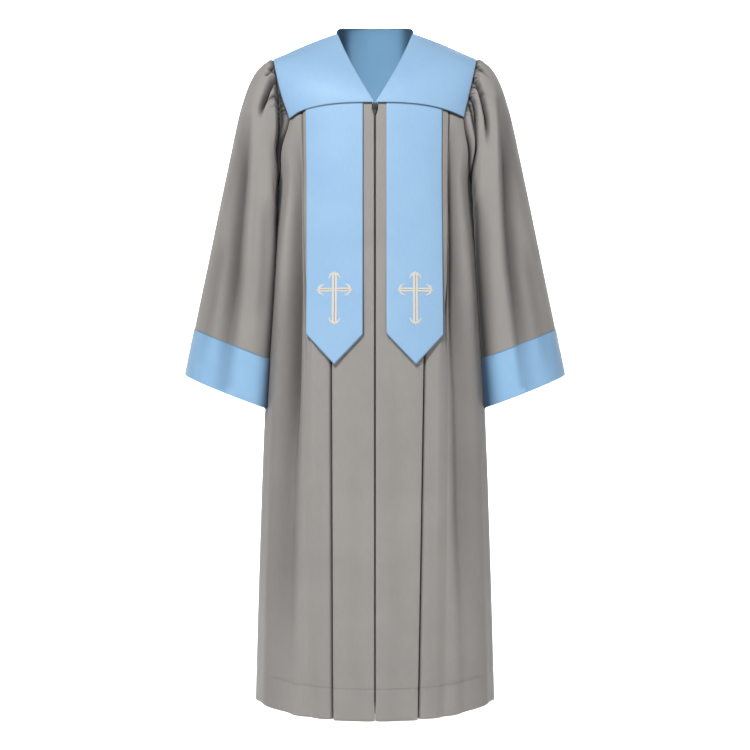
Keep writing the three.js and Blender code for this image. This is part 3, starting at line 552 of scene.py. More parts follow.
def threadMaterial(name):
    look = threadLooks[name]
    made, tree, shader, places = newMaterial(name)
    strands = addNoise(tree, places["Object"], Scale=look["scale"], Detail=2.0)
    colour = addRamp(tree, strands, (0.25, look["edge"]), (0.6, look["colour"]))
    # Painted shade, by the shade attribute: the running stitches in the groove between a cross's bands are darkened.
    colour = turnTo(tree, colour, "shade", look["deep"])
    relief = addBump(tree, strands, Strength=0.3, Distance=0.0003)
    setInputs(
        tree, shader, {"Base Color": colour, "Normal": relief.outputs["Normal"]}, Roughness=look["roughness"],
        Sheen_Weight=0.15,
    )
    return made


def metalMaterial():
    made, tree, shader, places = newMaterial("zip_metal")
    wear = addNoise(tree, places["Object"], Scale=700.0, Detail=3.0)
    colour = addRamp(tree, wear, (0, (0.06, 0.059, 0.056)), (1, (0.17, 0.167, 0.16)))
    dull = addNode(tree, "ShaderNodeMapRange", {"Value": wear}, To_Min=0.28, To_Max=0.5)
    setInputs(tree, shader, {"Base Color": colour, "Roughness": dull.outputs["Result"]}, Metallic=0.9)
    return made


materials = {name: clothMaterial(name) for name in clothLooks}
materials.update({name: threadMaterial(name) for name in threadLooks})
materials["zip_metal"] = metalMaterial()


def dress(piece, slotName, replaced=None, body="robe"):
    piece.data.materials.clear()
    piece.data.materials.append(materials[slotName])
    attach(piece, body)
    if replaced:
        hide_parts(replaced)


print("stage: yoke")

yoke = {
    "cloth": 0.8, "low": 0.95, "high": 2.1, "edgeRadius": 3.2, "frontColumns": 72, "rows": 78, "backColumns": 130,
    "finerEnds": 0.75, "backFinerEnds": 0.3, "backFlatter": 0.6, "neckShare": 0.22, "innerShade": 0.8,
    "innerShadeFrom": (46, 70),
}
cornerX = float(armhole(halfTurn / 2)[0])
frontEdge = {
    "half": 1.4, "notchHalf": 5.6, "notchEnd": -172, "closedFrom": -184, "footHalf": 0.2, "footFrom": (1295, 1322),
}


def seamZ(x):
    return seam["z"] - seam["fall"] * (np.abs(x) / cornerX) ** 3


def seamPoint(x, side):
    z = seamZ(x)
    return onRobe(z, distanceAtX(np.abs(x), z, side) * np.where(x < 0, -1, 1), 0, side)


def shoulderLine(t, side):
    z = mix(0, shoulder["z"], t) + shoulder["bow"] * np.sin(halfTurn * t)
    return np.stack([mix(neck["halfWidth"], shoulder["x"], t), np.full_like(t, side * seam["gap"] / 2), z], axis=-1)


def neckEdge(t):
    bottom = seamPoint(np.float64(frontEdge["half"] / 2), -1)
    x = mix(bottom[0], neck["halfWidth"], t) + neck["bow"] * np.sin(halfTurn * t)
    y = mix(-seam["gap"] / 2, bottom[1], 1 - t ** neck["ease"])
    return np.stack([x, y, mix(bottom[2], 0, t)], axis=-1)


def armEdge(t, side):
    edge = armhole(-side * halfTurn / 2 * (1 - t))
    edge[..., 1] += side * seam["gap"] * 0.5 * t
    return edge


def backNeckEdge(u):
    fromMiddle = np.abs(u - 0.5) * 2
    hand = np.where(u < 0.5, -1, 1)
    edge = 1 - 2 * yoke["neckShare"]
    onShoulder = shoulderLine(np.clip((fromMiddle - edge) / (1 - edge), 0, 1), 1)
    angle = halfTurn / 2 * np.clip(1 - fromMiddle / edge, 0, 1)
    curve = np.stack([
        neck["halfWidth"] * np.cos(angle),
        seam["gap"] / 2 + neck["backDepth"] * np.sin(angle),
        neck["backRise"] * np.sqrt(np.sin(angle)),
    ], axis=-1)
    upper = np.where((fromMiddle > edge)[..., None], onShoulder, curve)
    upper[..., 0] *= hand
    return upper


def patch(bottom, top, left, right, u, v, fullness=1):
    # A surface between four edges: bottom and top run with u, left and right with v.
    u, v = u[None, :, None], v[:, None, None]
    leftBow = left - mix(left[:1], left[-1:], v[:, 0])
    rightBow = right - mix(right[:1], right[-1:], v[:, 0])
    bow = mix(leftBow[:, None], rightBow[:, None], u)
    return mix(bottom[None], top[None], v) + bow * (fullness[None, :, None] if np.ndim(fullness) else fullness)


def roundedEdge(distance, radius):
    near = np.clip(distance / radius, 0, 1)
    return np.sqrt(np.maximum(1 - (1 - near) ** 2, 0))


def finerEnds(count, ends=0.5):
    # Shares from 0 to 1 that lie closer together towards both ends.
    t = np.linspace(0, 1, count)
    return mix(t, (1 - np.cos(halfTurn * t)) / 2, ends)


def raiseFromEdges(grid, sign, settings):
    # The turned edges of a doubled piece: its face stands proud and rounds down to the cloth below at every edge.
    flat = flatPlaces(grid)
    u, v = flat[..., 0], flat[..., 1]
    inset = np.minimum.reduce([u, u.max(axis=1, keepdims=True) - u, v, v.max(axis=0, keepdims=True) - v])
    out = mix(settings["low"], settings["high"], roundedEdge(inset, settings["edgeRadius"]))
    return grid + gridNormals(grid, sign) * out[..., None], flat


def rimShade(toEdge, width=1.3, depth=0.85, softness=(0.4, 1.5)):
    # The painted shadow line of a turned edge over the cloth below it.
    start, end = softness
    return depth * (1 - smoothStep(toEdge, width * start, width * end))


def yokeFront(hand):
    u, v = (finerEnds(yoke[key], yoke["finerEnds"]) for key in ("frontColumns", "rows"))
    bottom = seamPoint(mix(frontEdge["half"] / 2, cornerX, u), -1)
    grid = patch(bottom, shoulderLine(u, -1), neckEdge(v), armEdge(v, -1), u, v)
    grid, flat = raiseFromEdges(grid, 1, yoke)
    grid[..., 0] *= hand
    return grid, flat


def yokeBack():
    u = finerEnds(yoke["backColumns"], yoke["backFinerEnds"])
    v = finerEnds(yoke["rows"], yoke["finerEnds"])
    right = armEdge(v, 1)
    left = right * (-1, 1, 1)
    bottom = seamPoint(mix(-cornerX, cornerX, u), 1)
    fullness = 1 - yoke["backFlatter"] * np.sin(halfTurn * u) ** 2
    grid = patch(bottom, backNeckEdge(u), left, right, u, v, fullness)
    return raiseFromEdges(grid, -1, yoke)


hands = {"left": 1, "right": -1}
# Painted shadow: rimShade darkens each yoke piece along its lower edge.
for name, hand in hands.items():
    grid, flat = yokeFront(hand)
    piece = makeSheet(
        f"yoke_front_{name}_cloth", grid, flat, yoke["cloth"], flip=hand < 0, shade=rimShade(flat[..., 1])
    )
    dress(piece, "blue_cloth", f"yoke_front_{name}")
grid, flat = yokeBack()
# Painted shadow along the back yoke's lower edge too, and painted shade on its inner face towards the corners of the
# neck.
shaded = yoke["innerShade"] * smoothStep(np.abs(grid[..., 0]), *yoke["innerShadeFrom"])
piece = makeSheet(
    "yoke_back_cloth", grid, flat, yoke["cloth"], flip=True, shade=rimShade(flat[..., 1]), innerShade=shaded
)
dress(piece, "blue_cloth", "yoke_back")

print("stage: fronts and back")

panel = {
    "cloth": 0.6, "rows": 150, "rowFinerEnds": 0.25, "tuck": 9, "tuckRows": (1, 0.45), "seamRows": (0.0012, 0.0026),
    "spacing": {True: 3.0, False: 4.6},  # of the columns at the hem, for a front and for the back
    "stitchRows": (-2.6, -1.3, 0, 1.3, 2.6), "height": 1180, "foldsFrom": 0.04,
    "stepTop": 3.6, "stepHem": 7.4, "cornerShare": 0.34, "armholeColumns": 7,
    "hemRows": 7, "hemFold": 1.5, "hemTurn": 0.35, "seamDip": 3.2, "seamDipReach": 5,
    "underYoke": -1.7, "underYokeSlack": 0.15, "grooveTop": 1.6, "grooveHem": 1.9,
    "stitchDip": 1.1, "stitchWidth": 1.6,
    # The shades are painted shade: in the pleat grooves, at the front edges, in the folds, below the yoke seam, along
    # the hem stitches, towards the sides and beside the sleeves.
    "grooveShade": 0.93, "edgeShade": 0.93, "foldShade": 0.62, "seamShade": 0.75, "seamShadeReach": (0.8, 2.2),
    "stitchShade": 0.15, "stitchShadeWidth": 1.3,
    "sideShade": 0.17, "sideFrom": (0.6, 0.88), "sideBelow": (420, 620),
    "besideSleeve": 0.93, "besideShare": ((0.925, 0.95), (0.955, 0.975)), "besideShareBelow": (200, 450),
    "besideBelow": (190, 220), "besideFades": {-1: (330, 500), 1: (690, 750)},
}
# open is where a pleat begins to let go of its fold, and where it has run out into a soft ridge, as shares of the
# panel's height.
pleats = {
    "front_left": [{"at": 102, "foot": 82.5, "underlap": 24},
                   {"at": 146, "foot": 137, "underlap": 20, "open": (0.26, 0.42)}],
    "front_right": [{"at": 84.5, "foot": 80.5, "underlap": 24},
                    {"at": 143, "foot": 129, "underlap": 20, "open": (0.22, 0.46), "line": 0.4}],
    "back": [{"at": 87, "foot": 86, "underlap": 24},
             {"at": 144, "foot": 156, "underlap": 20, "open": (0.55, 0.95)}],
}
neverOpen = (2, 3)
# How the cloth comes back up past a pleat, and where it lies before the first one.
recovery = [{"part": 0.2, "level": 0.7}, {"part": 0.5, "level": 0.06}, {"part": 0.76, "level": 0}]
beforeFirst = {"part": 0.38, "level": 0}
flutes = [  # soft troughs beside the pleats: share is the part of the depth left at the yoke
    {"at": 158, "foot": 184, "width": 13, "depth": 7, "share": 0.55},
    {"at": 172, "foot": 236, "width": 20, "depth": -5, "share": 0.2},
    {"at": 186, "foot": 284, "width": 19, "depth": 2.5, "share": 0},
]
# Soft folds of each panel: at and foot are their distances from centre at the yoke and hem, top and end where they
# begin and fade, as shares of the panel's height. inner and outer are a fold's soft widths towards the centre and
# towards the side, and a painted shade is given where it isn't worked out from the depth.
foldNames = ("at", "foot", "top", "end", "inner", "outer", "depth", "shade")
softFolds = {
    "front_left": [
        (40, 44, 0.42, 1.2, 16, 16, 2.2),
        (154, 170, 0.04, 0.48, 6.5, 16, 18, 0.66),
        (152, 188, 0.24, 0.9, 19, 30, 15, 0.26),
        (186, 232, 0.1, 1.2, 22, 16, -4),
        (104, 116, 0.5, 1.2, 12, 16, 2.2),
    ],
    "front_right": [
        (30, 36, 0.5, 1.2, 15, 15, 1.8),
        (154, 170, 0.07, 0.66, 9, 14, 16, 0.58),
        (152, 186, 0.22, 0.96, 20, 28, 15, 0.26),
        (184, 226, 0.1, 1.2, 20, 16, -4),
        (100, 112, 0.56, 1.2, 12, 16, 2),
    ],
    "back_left": [
        (34, 42, 0.1, 0.7, 17, 17, 4),
        (60, 62, 0.5, 1.2, 14, 14, -3),
        (114, 124, 0.05, 0.62, 10, 14, 5),
        (160, 190, 0.1, 0.9, 13, 26, 10),
    ],
    "back_right": [
        (28, 30, 0.22, 0.9, 15, 15, 3),
        (56, 66, 0.04, 0.45, 14, 14, 3),
        (110, 112, 0.12, 0.8, 12, 12, 4),
        (154, 196, 0.06, 1.2, 16, 24, 9),
    ],
}


def edgeHalf(z):
    share = np.clip((z - frontEdge["closedFrom"]) / (frontEdge["notchEnd"] - frontEdge["closedFrom"]), 0, 1)
    half = mix(frontEdge["half"], frontEdge["notchHalf"], share)
    return mix(half, frontEdge["footHalf"], smoothStep(-z, *frontEdge["footFrom"]))


def foldSteps(underlap):
    # A knife pleat's fold: steps along the section from the fold, levels into the robe, and how much of the narrow
    # groove beside the fold each step has.
    return [(-underlap, 0, 0), (-1.2, 0, 0), (0, 0.36, 0), (-1.2, 0.78, 0), (1.4 - underlap, 0.8, 0),
            (-underlap, 0.9, 0), (1.4 - underlap, 1, 0), (-3, 1, 0), (-0.6, 1, 1), (1.8, 1, 1), (5, 1, 0)]


def panelColumns(side, isFront, folds):
    columns = []

    def add(at, foot, level, **extra):
        columns.append({"at": at, "foot": foot, "level": level, **extra})

    if isFront:
        add(0, 0, 0, edge=0, depth=6, rise=1.5)
        add(0, 0, 0, edge=0, depth=1.0, rise=1.5)
        add(0, 0, 0, edge=1.4, depth=0, rise=1)
        add(0, 0, 0, edge=8, depth=0, rise=0.2)
    else:
        add(0, 0, 0)
    start, startFoot = 0, 0
    for number, pleat in enumerate(folds):
        first = recovery[0] if number else beforeFirst
        add(mix(start, pleat["at"], first["part"]), mix(startFoot, pleat["foot"], first["part"]), first["level"])
        steps = foldSteps(pleat["underlap"])
        for i, (along, level, groove) in enumerate(steps):
            share = i / (len(steps) - 1)
            spread = mix(steps[0][0], steps[-1][0], share) - along
            add(
                pleat["at"] + along, pleat["foot"] + along, level, groove=groove, spread=spread,
                ramp=smoothStep(share, 0, 1), open=pleat.get("open", neverOpen), line=pleat.get("line", 1),
            )
        start, startFoot = pleat["at"], pleat["foot"]
    corner = armhole(-side * halfTurn / 2)
    hemGirth = float(girth(hem["z"], side))
    cornerFoot = mix(startFoot, hemGirth, panel["cornerShare"])
    cornerAt = float(distanceAtX(corner[0], corner[2], side))
    for row in recovery:
        foot = mix(startFoot, cornerFoot, row["part"])
        toSide = (foot - startFoot) / (hemGirth - startFoot)
        add(mix(start, cornerAt, row["part"]), foot, row["level"], toSide=toSide)
    for i in range(panel["armholeColumns"] + 1):
        share = i / panel["armholeColumns"]
        foot = mix(cornerFoot, hemGirth, share)
        toSide = (foot - startFoot) / (hemGirth - startFoot)
        edgeAngle = -side * mix(halfTurn / 2, halfTurn, share)
        column = {"at": 0, "foot": foot, "level": 0, "edgeAngle": edgeAngle, "toSide": toSide}
        columns.extend([column, dict(column)] if i == 0 else [column])
    return columns


def columnLine(column, down, side):
    # Height, distance from centre, pleat level, depth and nearness to the side seam, down one column, and the painted
    # shade in a pleat's groove or at a front edge.
    toSide = column.get("toSide", 0)
    if "edgeAngle" in column:
        edge = armhole(column["edgeAngle"])
        topZ = float(edge[2])
        topDistance = float(distanceAtX(edge[0], edge[2], side))
    else:
        topZ = float(seamZ(column["at"])) - seam["gap"]
        topDistance = column["at"]
    footShare = column["foot"] / float(girth(hem["z"], side))
    corner = hem["cornerRise"] * bump(footShare - hem["cornerShare"], hem["cornerWidth"])
    hemZ = hem["z"] + hem["sideRise"] * footShare**2 + corner + column.get("rise", 0)
    z = mix(topZ, hemZ, down)
    around = girth(z, side)
    distance = mix(topDistance, column["foot"], down)
    shared = mix(topDistance / girth(topZ, side), column["foot"] / girth(hemZ, side), down) * around
    distance = mix(distance, shared, smoothStep(np.float64(toSide), 0, panel["cornerShare"]))
    if "edge" in column:
        distance = edgeHalf(z) + column["edge"]
    distance = np.minimum(distance, around - seam["gap"] / 2)
    step = mix(panel["stepTop"], panel["stepHem"], np.clip(down, 0, 1))
    inset = np.full_like(z, column["depth"]) if "depth" in column else column["level"] * step
    if "spread" in column:
        opened = smoothStep(down, *column["open"])
        distance = distance + column["spread"] * opened
        distance = np.minimum(distance, around - seam["gap"] / 2)
        inset = mix(inset, column["ramp"] * step, opened)
        groove = column["groove"] * mix(panel["grooveTop"], panel["grooveHem"], np.clip(down, 0, 1))
        inset = inset + groove * step * (1 - opened)
        shade = panel["grooveShade"] * column["line"] * column["groove"] * (1 - opened)
    else:
        shade = np.zeros_like(z)
    if "edge" in column:
        shade = np.full_like(z, panel["edgeShade"] * (column["depth"] > 2))
    return np.stack([z, distance, inset, np.full_like(z, toSide), shade], axis=-1)


def darker(*shades):
    # Several shades that lie over one another.
    light = 1
    for shade in shades:
        light = light * (1 - shade)
    return 1 - light


# How flutes and folds widen from the yoke to the hem, and how far they take to come in and to run out.
fluteForm = {"widens": (0.6, 1.6), "comesIn": (0, 0.12), "fromPleats": (0.02, 0.3), "sidePower": 4}
# darkest is the most painted shade that a fold is given.
foldForm = {"widens": (0.85, 1.2), "before": 0.06, "after": 0.12, "runsOut": 0.25, "darkest": 0.9}


def fluteDepth(distance, down, toSide):
    total = np.zeros_like(distance)
    for flute in flutes:
        middle = mix(flute["at"], flute["foot"], down)
        width = flute["width"] * mix(*fluteForm["widens"], down)
        total += flute["depth"] * mix(flute["share"], 1, down) * bump(distance - middle, width)
    nearSide = 1 - toSide ** fluteForm["sidePower"]
    return total * smoothStep(toSide, *fluteForm["fromPleats"]) * nearSide * smoothStep(down, *fluteForm["comesIn"])


def softFoldDepth(folds, distance, down):
    # The depth of the folds, and the painted shade that lies in them.
    total = np.zeros_like(distance)
    light = np.ones_like(distance)
    for row in folds:
        fold = dict(zip(foldNames, row))
        middle = mix(fold["at"], fold["foot"], down)
        shown = smoothStep(down, fold["top"] - foldForm["before"], fold["top"] + foldForm["after"])
        shown = shown * (1 - smoothStep(down, fold["end"] - foldForm["runsOut"], fold["end"]))
        width = np.where(distance < middle, fold["inner"], fold["outer"]) * mix(*foldForm["widens"], down)
        trough = shown * bump(distance - middle, width)
        total += fold["depth"] * trough
        steepness = max(fold["depth"], 0) / (fold["inner"] + fold["outer"])
        darkness = min(panel["foldShade"] * steepness, foldForm["darkest"])
        light *= 1 - fold.get("shade", darkness) * trough
    return total, 1 - light


def panelHalf(side, isFront, pleated, folds):
    columns = panelColumns(side, isFront, pleated)
    height = seam["z"] - hem["z"]
    stitchRows = 1 - hem["depth"] / height + np.array(panel["stitchRows"]) / panel["height"]
    down = np.sort(np.concatenate([finerEnds(panel["rows"], panel["rowFinerEnds"]), panel["seamRows"], stitchRows]))
    tucked = -panel["tuck"] / height * np.array(panel["tuckRows"])
    down = np.concatenate([tucked, down])
    lines = np.array([columnLine(column, down, side) for column in columns])
    counts = []
    for i in range(len(columns)):
        near = lines[max(i - 1, 0):i + 2, -1, 1:3]
        reach = np.linalg.norm(np.diff(near, axis=0), axis=1).sum() / 2
        counts.append(int(max(3, round(reach / panel["spacing"][isFront]))))
    fine = bentCurve(lines, counts)
    z, distance, inset, toSide, shade = (fine[..., k].T for k in range(5))
    shown = np.clip(down, 0, 1)[:, None] * np.ones_like(z)
    folded, foldShade = softFoldDepth(folds, distance, shown)
    comesIn = smoothStep(shown, 0, panel["foldsFrom"])
    inset = inset + fluteDepth(distance, shown, toSide) + folded * comesIn
    # The cloth dips where the yoke is sewn over it, and lies flat against the yoke's inner face above the seam.
    below = z[len(tucked)] - z
    inset = inset + panel["seamDip"] * (1 - smoothStep(below, -1, panel["seamDipReach"]))
    pressed = smoothStep(-below, 1, panel["tuck"] - 1)
    inset = mix(inset, panel["underYoke"] + panel["underYokeSlack"] * inset, pressed)
    # A shallow dent runs along the hem's stitches.
    fromStitches = z - z[-1:] - hem["depth"]
    inset = inset + panel["stitchDip"] * bump(fromStitches, panel["stitchWidth"])
    # Painted shadow lines below the yoke seam and along the hem stitches.
    seamShade = panel["seamShade"] * (1 - smoothStep(below, *panel["seamShadeReach"]))
    stitchShade = panel["stitchShade"] * bump(fromStitches, panel["stitchShadeWidth"])
    # Painted shade beside the sleeves, where little light reaches the cloth, and towards the lower body's sides.
    angle = lookUp(measured[side]["angleAtShare"], z, distance / girth(z, side))
    fromCentre = sectionPoint(sectionAt(z, side), angle, side)[0] / alongTable(robe, "halfWidth", z)
    lower = smoothStep(-z, *panel["besideShareBelow"])
    first, last = (mix(upper, under, lower) for upper, under in zip(*panel["besideShare"]))
    besideShade = panel["besideSleeve"] * smoothStep((fromCentre - first) / (last - first), 0, 1)
    besideShade = besideShade * smoothStep(-z, *panel["besideBelow"]) * (1 - smoothStep(-z, *panel["besideFades"][side]))
    sideShade = panel["sideShade"] * smoothStep(fromCentre, *panel["sideFrom"])
    sideShade = sideShade * smoothStep(-z, *panel["sideBelow"])
    shade = darker(np.clip(shade, 0, 1), foldShade * comesIn, seamShade, besideShade, stitchShade, sideShade)
    # The hem is turned up inside: the last rows go round its lower edge and up the inside of every layer.
    along, deeper = np.gradient(distance[-1]), np.gradient(inset[-1])
    folded = panel["hemFold"] / np.maximum(np.hypot(along, deeper), 1e-6)
    rows = [(z[-1] - panel["hemTurn"], -1, 0.5)]
    for up in np.linspace(0, hem["depth"], panel["hemRows"]):
        rows.append((z[-1] + up, np.argmin(np.abs(z[:, 0] - (z[-1, 0] + up))), 1))
    extra = [
        (rowZ, distance[at] - deeper * folded * part, inset[at] + along * folded * part, shade[-1])
        for rowZ, at, part in rows
    ]
    grids = (z, distance, inset, shade)
    return [np.concatenate([values, [row[k] for row in extra]]) for k, values in enumerate(grids)]


def buildFront(name, hand):
    z, distance, inset, shade = panelHalf(-1, True, pleats[f"front_{name}"], softFolds[f"front_{name}"])
    grid = onRobe(z, distance, -inset, -1, hand)
    piece = makeSheet(
        f"front_{name}_cloth", grid, flatPlaces(grid), panel["cloth"], flip=hand > 0, sharpest=75, shade=shade
    )
    dress(piece, "grey_cloth", f"front_{name}")


def buildBack():
    halves, shades = [], []
    for name, hand in (("right", -1), ("left", 1)):
        z, distance, inset, shade = panelHalf(1, False, pleats["back"], softFolds[f"back_{name}"])
        grid = onRobe(z, distance, -inset, 1, hand)
        halves.append(grid[:, ::-1] if hand < 0 else grid[:, 1:])
        shades.append(shade[:, ::-1] if hand < 0 else shade[:, 1:])
    grid = np.concatenate(halves, axis=1)
    shade = np.concatenate(shades, axis=1)
    piece = makeSheet("back_cloth", grid, flatPlaces(grid), panel["cloth"], sharpest=75, shade=shade)
    dress(piece, "grey_cloth", "back")


for name, hand in hands.items():
    buildFront(name, hand)
buildBack()

print("stage: stole bands and crosses")

stole = {
    "inner": 22, "outer": 132, "cornerZ": -604, "tipZ": -662, "lift": 7.5, "standOff": 0.7,
    "cloth": 0.7, "low": 0.75, "high": 1.9, "edgeRadius": 4.5,
    "columns": 61, "columnFinerEnds": 0.8, "rows": 140, "rowFinerEnds": 0.3, "topRows": (0.001, 0.0025, 0.005),
    "flare": {"left": 0, "right": 4}, "flareEase": 1.5, "seamDip": 0.6, "seamDipReach": 5,
    "sideRim": (1.9, 0.88), "pointRim": (1.5, 0.75), "topRim": (1.8, 0.75),
}


def stoleLift(z):
    top = float(seamZ(stole["inner"]))
    down = np.clip((top - z) / (top - stole["tipZ"]), 0, 1)
    return stole["standOff"] + stole["lift"] * down**3


def onStole(s, z, out, hand):
    return onRobe(z, s, stoleLift(z) + out, -1, hand)


def buildStole(name, hand):
    middle = (stole["inner"] + stole["outer"]) / 2
    halfWidth = (stole["outer"] - stole["inner"]) / 2
    s = mix(stole["inner"], stole["outer"], finerEnds(stole["columns"], stole["columnFinerEnds"]))[None, :]
    down = np.concatenate([finerEnds(stole["rows"], stole["rowFinerEnds"]), stole["topRows"]])
    down = np.sort(down)[:, None]
    bottomZ = mix(stole["tipZ"], stole["cornerZ"], np.abs(s - middle) / halfWidth)
    z = mix(seamZ(s) - seam["gap"], bottomZ, down)
    s = s * np.ones_like(z)
    slope = math.hypot(1, (stole["cornerZ"] - stole["tipZ"]) / halfWidth)
    toInner, toOuter, toPoint = s - stole["inner"], stole["outer"] - s, (z - bottomZ) / slope
    toEdge = np.minimum.reduce([toInner, toOuter, toPoint])
    out = mix(stole["low"], stole["high"], roundedEdge(toEdge, stole["edgeRadius"])) - stole["standOff"]
    # Painted shadow lines along the edge away from the light, along the point and below the yoke.
    below = seamZ(s) - seam["gap"] - z
    shade = np.maximum.reduce([
        rimShade(toOuter if hand > 0 else toInner, *stole["sideRim"]),
        rimShade(toPoint, *stole["pointRim"]), rimShade(below, *stole["topRim"]),
    ])
    out = out - stole["seamDip"] * (1 - smoothStep(below, 0, stole["seamDipReach"]))
    flare = stole["flare"][name] * (s - middle) / halfWidth * (s > middle)
    s = s + flare * (1 - down) ** stole["flareEase"]
    grid = onStole(s, z, out, hand)
    piece = makeSheet(f"stole_{name}_cloth", grid, flatPlaces(grid), stole["cloth"], flip=hand > 0, shade=shade)
    dress(piece, "blue_cloth", f"stole_{name}")


for name, hand in hands.items():
    buildStole(name, hand)

cross = {
    "s": 77, "z": -519, "up": 35.5, "down": 67, "reach": 34, "pitch": 0.62, "radius": 0.42, "rise": 0.75,
    "fullRise": 4, "slant": 0.14, "uneven": (0.94, 1.05), "base": 1.3,
    "column": {"at": 2.75, "width": 4.7, "narrow": 2.6, "taper": (3.5, 9), "lift": 0.25},
    "arm": {"at": 2.1, "width": 3.7, "narrow": 2.2, "taper": (3, 8), "lift": 0},
    "turnIn": (0.2, 0.45), "tip": 0.9,
    "barb": [(3.4, 0.8), (4.6, 8.4), (13.6, 10.4)], "barbWidth": (4.6, 4.8, 2.2), "barbSteps": 9, "barbLift": 0.12,
    "line": {"pitch": 3.0, "half": 1.6, "shade": 0.75, "radius": 0.5, "rise": 0.2, "ends": 8, "gap": 6,
             "columnLift": 0.5, "armLift": 0.35},
}


def stitchMesh(name, starts, ends, normals, radius, rise, shade, stations=(0, 0.18, 0.5, 0.82, 1), around=5):
    # Short threads, each a small closed bow from its start to its end.
    along = ends - starts
    sideways = np.cross(along, normals)
    sideways /= np.linalg.norm(sideways, axis=1, keepdims=True)
    rings = []
    for t in stations:
        lift = rise * (1 - (2 * t - 1) ** 2)
        full = radius * (0.5 if t in (0, 1) else 1)
        for k in range(around):
            turn = 2 * halfTurn * k / around
            rings.append(
                starts + along * t + sideways * (full * math.cos(turn))[:, None]
                + normals * (full * 0.8 * math.sin(turn) + lift)[:, None]
            )
    places = np.stack(rings, axis=1).reshape(-1, 3) * mm
    one = [tuple(range(around)), tuple(reversed(range((len(stations) - 1) * around, len(stations) * around)))]
    for i in range(len(stations) - 1):
        for k in range(around):
            after = (k + 1) % around
            one.append((i * around + k, (i + 1) * around + k, (i + 1) * around + after, i * around + after))
    each = len(stations) * around
    faces = [tuple(corner + each * n for corner in face) for n in range(len(starts)) for face in one]
    mesh = bpy.data.meshes.new(name)
    mesh.from_pydata(places.tolist(), [], faces)
    setTone(mesh, "shade", np.repeat(shade, each))
    piece = bpy.data.objects.new(name, mesh)
    bpy.context.scene.collection.objects.link(piece)
    makeActive(piece)
    bpy.ops.object.mode_set(mode="EDIT")
    bpy.ops.mesh.select_all(action="SELECT")
    bpy.ops.mesh.normals_make_consistent(inside=False)
    bpy.ops.object.mode_set(mode="OBJECT")
    bpy.ops.object.shade_smooth_by_angle(angle=math.radians(60))
    return piece


def alongPath(path, values, pitch):
    # Evenly spaced points along a bent path, its direction there, and the values belonging to its corners.
    path = np.array(path, float)
    lengths = runningSum(np.linalg.norm(np.diff(path, axis=0), axis=1))
    at = np.linspace(0, lengths[-1], max(2, round(lengths[-1] / pitch)))
    points = np.stack([np.interp(at, lengths, path[:, k]) for k in (0, 1)], axis=-1)
    direction = np.gradient(points, axis=0)
    direction /= np.linalg.norm(direction, axis=1, keepdims=True)
    return points, direction, np.interp(at, lengths, values)


def crossStitches():
    # Satin stitches that lie across each band of a cross, as (start, end, lift, shade) in the stole's own plane.
    draw = random.Random(23)
    stitches = []
    line = cross["line"]

    def satin(path, widths, lift):
        points, direction, width = alongPath(path, widths, cross["pitch"])
        across = np.stack([-direction[:, 1], direction[:, 0]], axis=-1) + direction * cross["slant"]
        for point, half, wide in zip(points, across, width):
            reach = half * wide / 2 * draw.uniform(*cross["uneven"])
            stitches.append((point - reach, point + reach, lift, 0))

    # Running stitches lie in the groove between the bands and are given painted shade.
    def running(start, end, lift):
        points, direction, _ = alongPath([start, end], [0, 0], line["pitch"])
        for point, ahead in zip(points, direction):
            stitches.append((point - ahead * line["half"], point + ahead * line["half"], lift, line["shade"]))

    def bands(part, start, end, isColumn):
        # The two bands of a bar, which turn in and narrow towards its ends.
        near, far = part["taper"]
        along = (start, start + near, start + far, end - far, end - near, end)
        widths = (cross["tip"], part["narrow"], part["width"])
        least, less = cross["turnIn"]
        for side in (-1, 1):
            aside = [side * part["at"] * share for share in (least, less, 1, 1, less, least)]
            path = list(zip(aside, along) if isColumn else zip(along, aside))
            satin(path, widths + widths[::-1], part["lift"])

    up, low, reach = cross["up"], -cross["down"], cross["reach"]
    bands(cross["arm"], -reach, reach, False)
    bands(cross["column"], low, up, True)
    for ahead, length in (((0, 1), up), ((0, -1), -low), ((1, 0), reach), ((-1, 0), reach)):
        ahead = np.array(ahead, float)
        across = np.array((-ahead[1], ahead[0]))
        for side in (-1, 1):
            a, b, c = (ahead * (length - back) + across * side * out for back, out in cross["barb"])
            t = np.linspace(0, 1, cross["barbSteps"])[:, None]
            curve = a * (1 - t) ** 2 + 2 * b * t * (1 - t) + c * t**2
            satin(curve, np.interp(t[:, 0], (0, 0.5, 1), cross["barbWidth"]), cross["barbLift"])
    running((0, low + line["ends"]), (0, up - line["ends"]), line["columnLift"])
    running((line["ends"] - reach, 0), (-line["gap"], 0), line["armLift"])
    running((line["gap"], 0), (reach - line["ends"], 0), line["armLift"])
    return stitches


def buildCross(name, hand):
    starts, ends, lift, shade = (np.array(column) for column in zip(*crossStitches()))
    out = cross["base"] + lift

    def lay(points, extra=0.0):
        return onStole(cross["s"] + points[:, 0], cross["z"] + points[:, 1], out + extra, hand)

    normals = lay((starts + ends) / 2, 1.0) - lay((starts + ends) / 2)
    normals /= np.linalg.norm(normals, axis=1, keepdims=True)
    length = np.linalg.norm(ends - starts, axis=1)
    radius = np.where(shade > 0, cross["line"]["radius"], cross["radius"])
    rise = np.where(shade > 0, cross["line"]["rise"], cross["rise"] * np.minimum(length / cross["fullRise"], 1))
    piece = stitchMesh(f"cross_{name}_stitches", lay(starts), lay(ends), normals, radius, rise, shade)
    dress(piece, "white_thread", f"cross_{name}")

coil = {"top": -190, "bottom": -1318, "pitch": 1.5, "half": 1.9, "inset": 5.6, "radius": 0.55, "rise": 0.22}


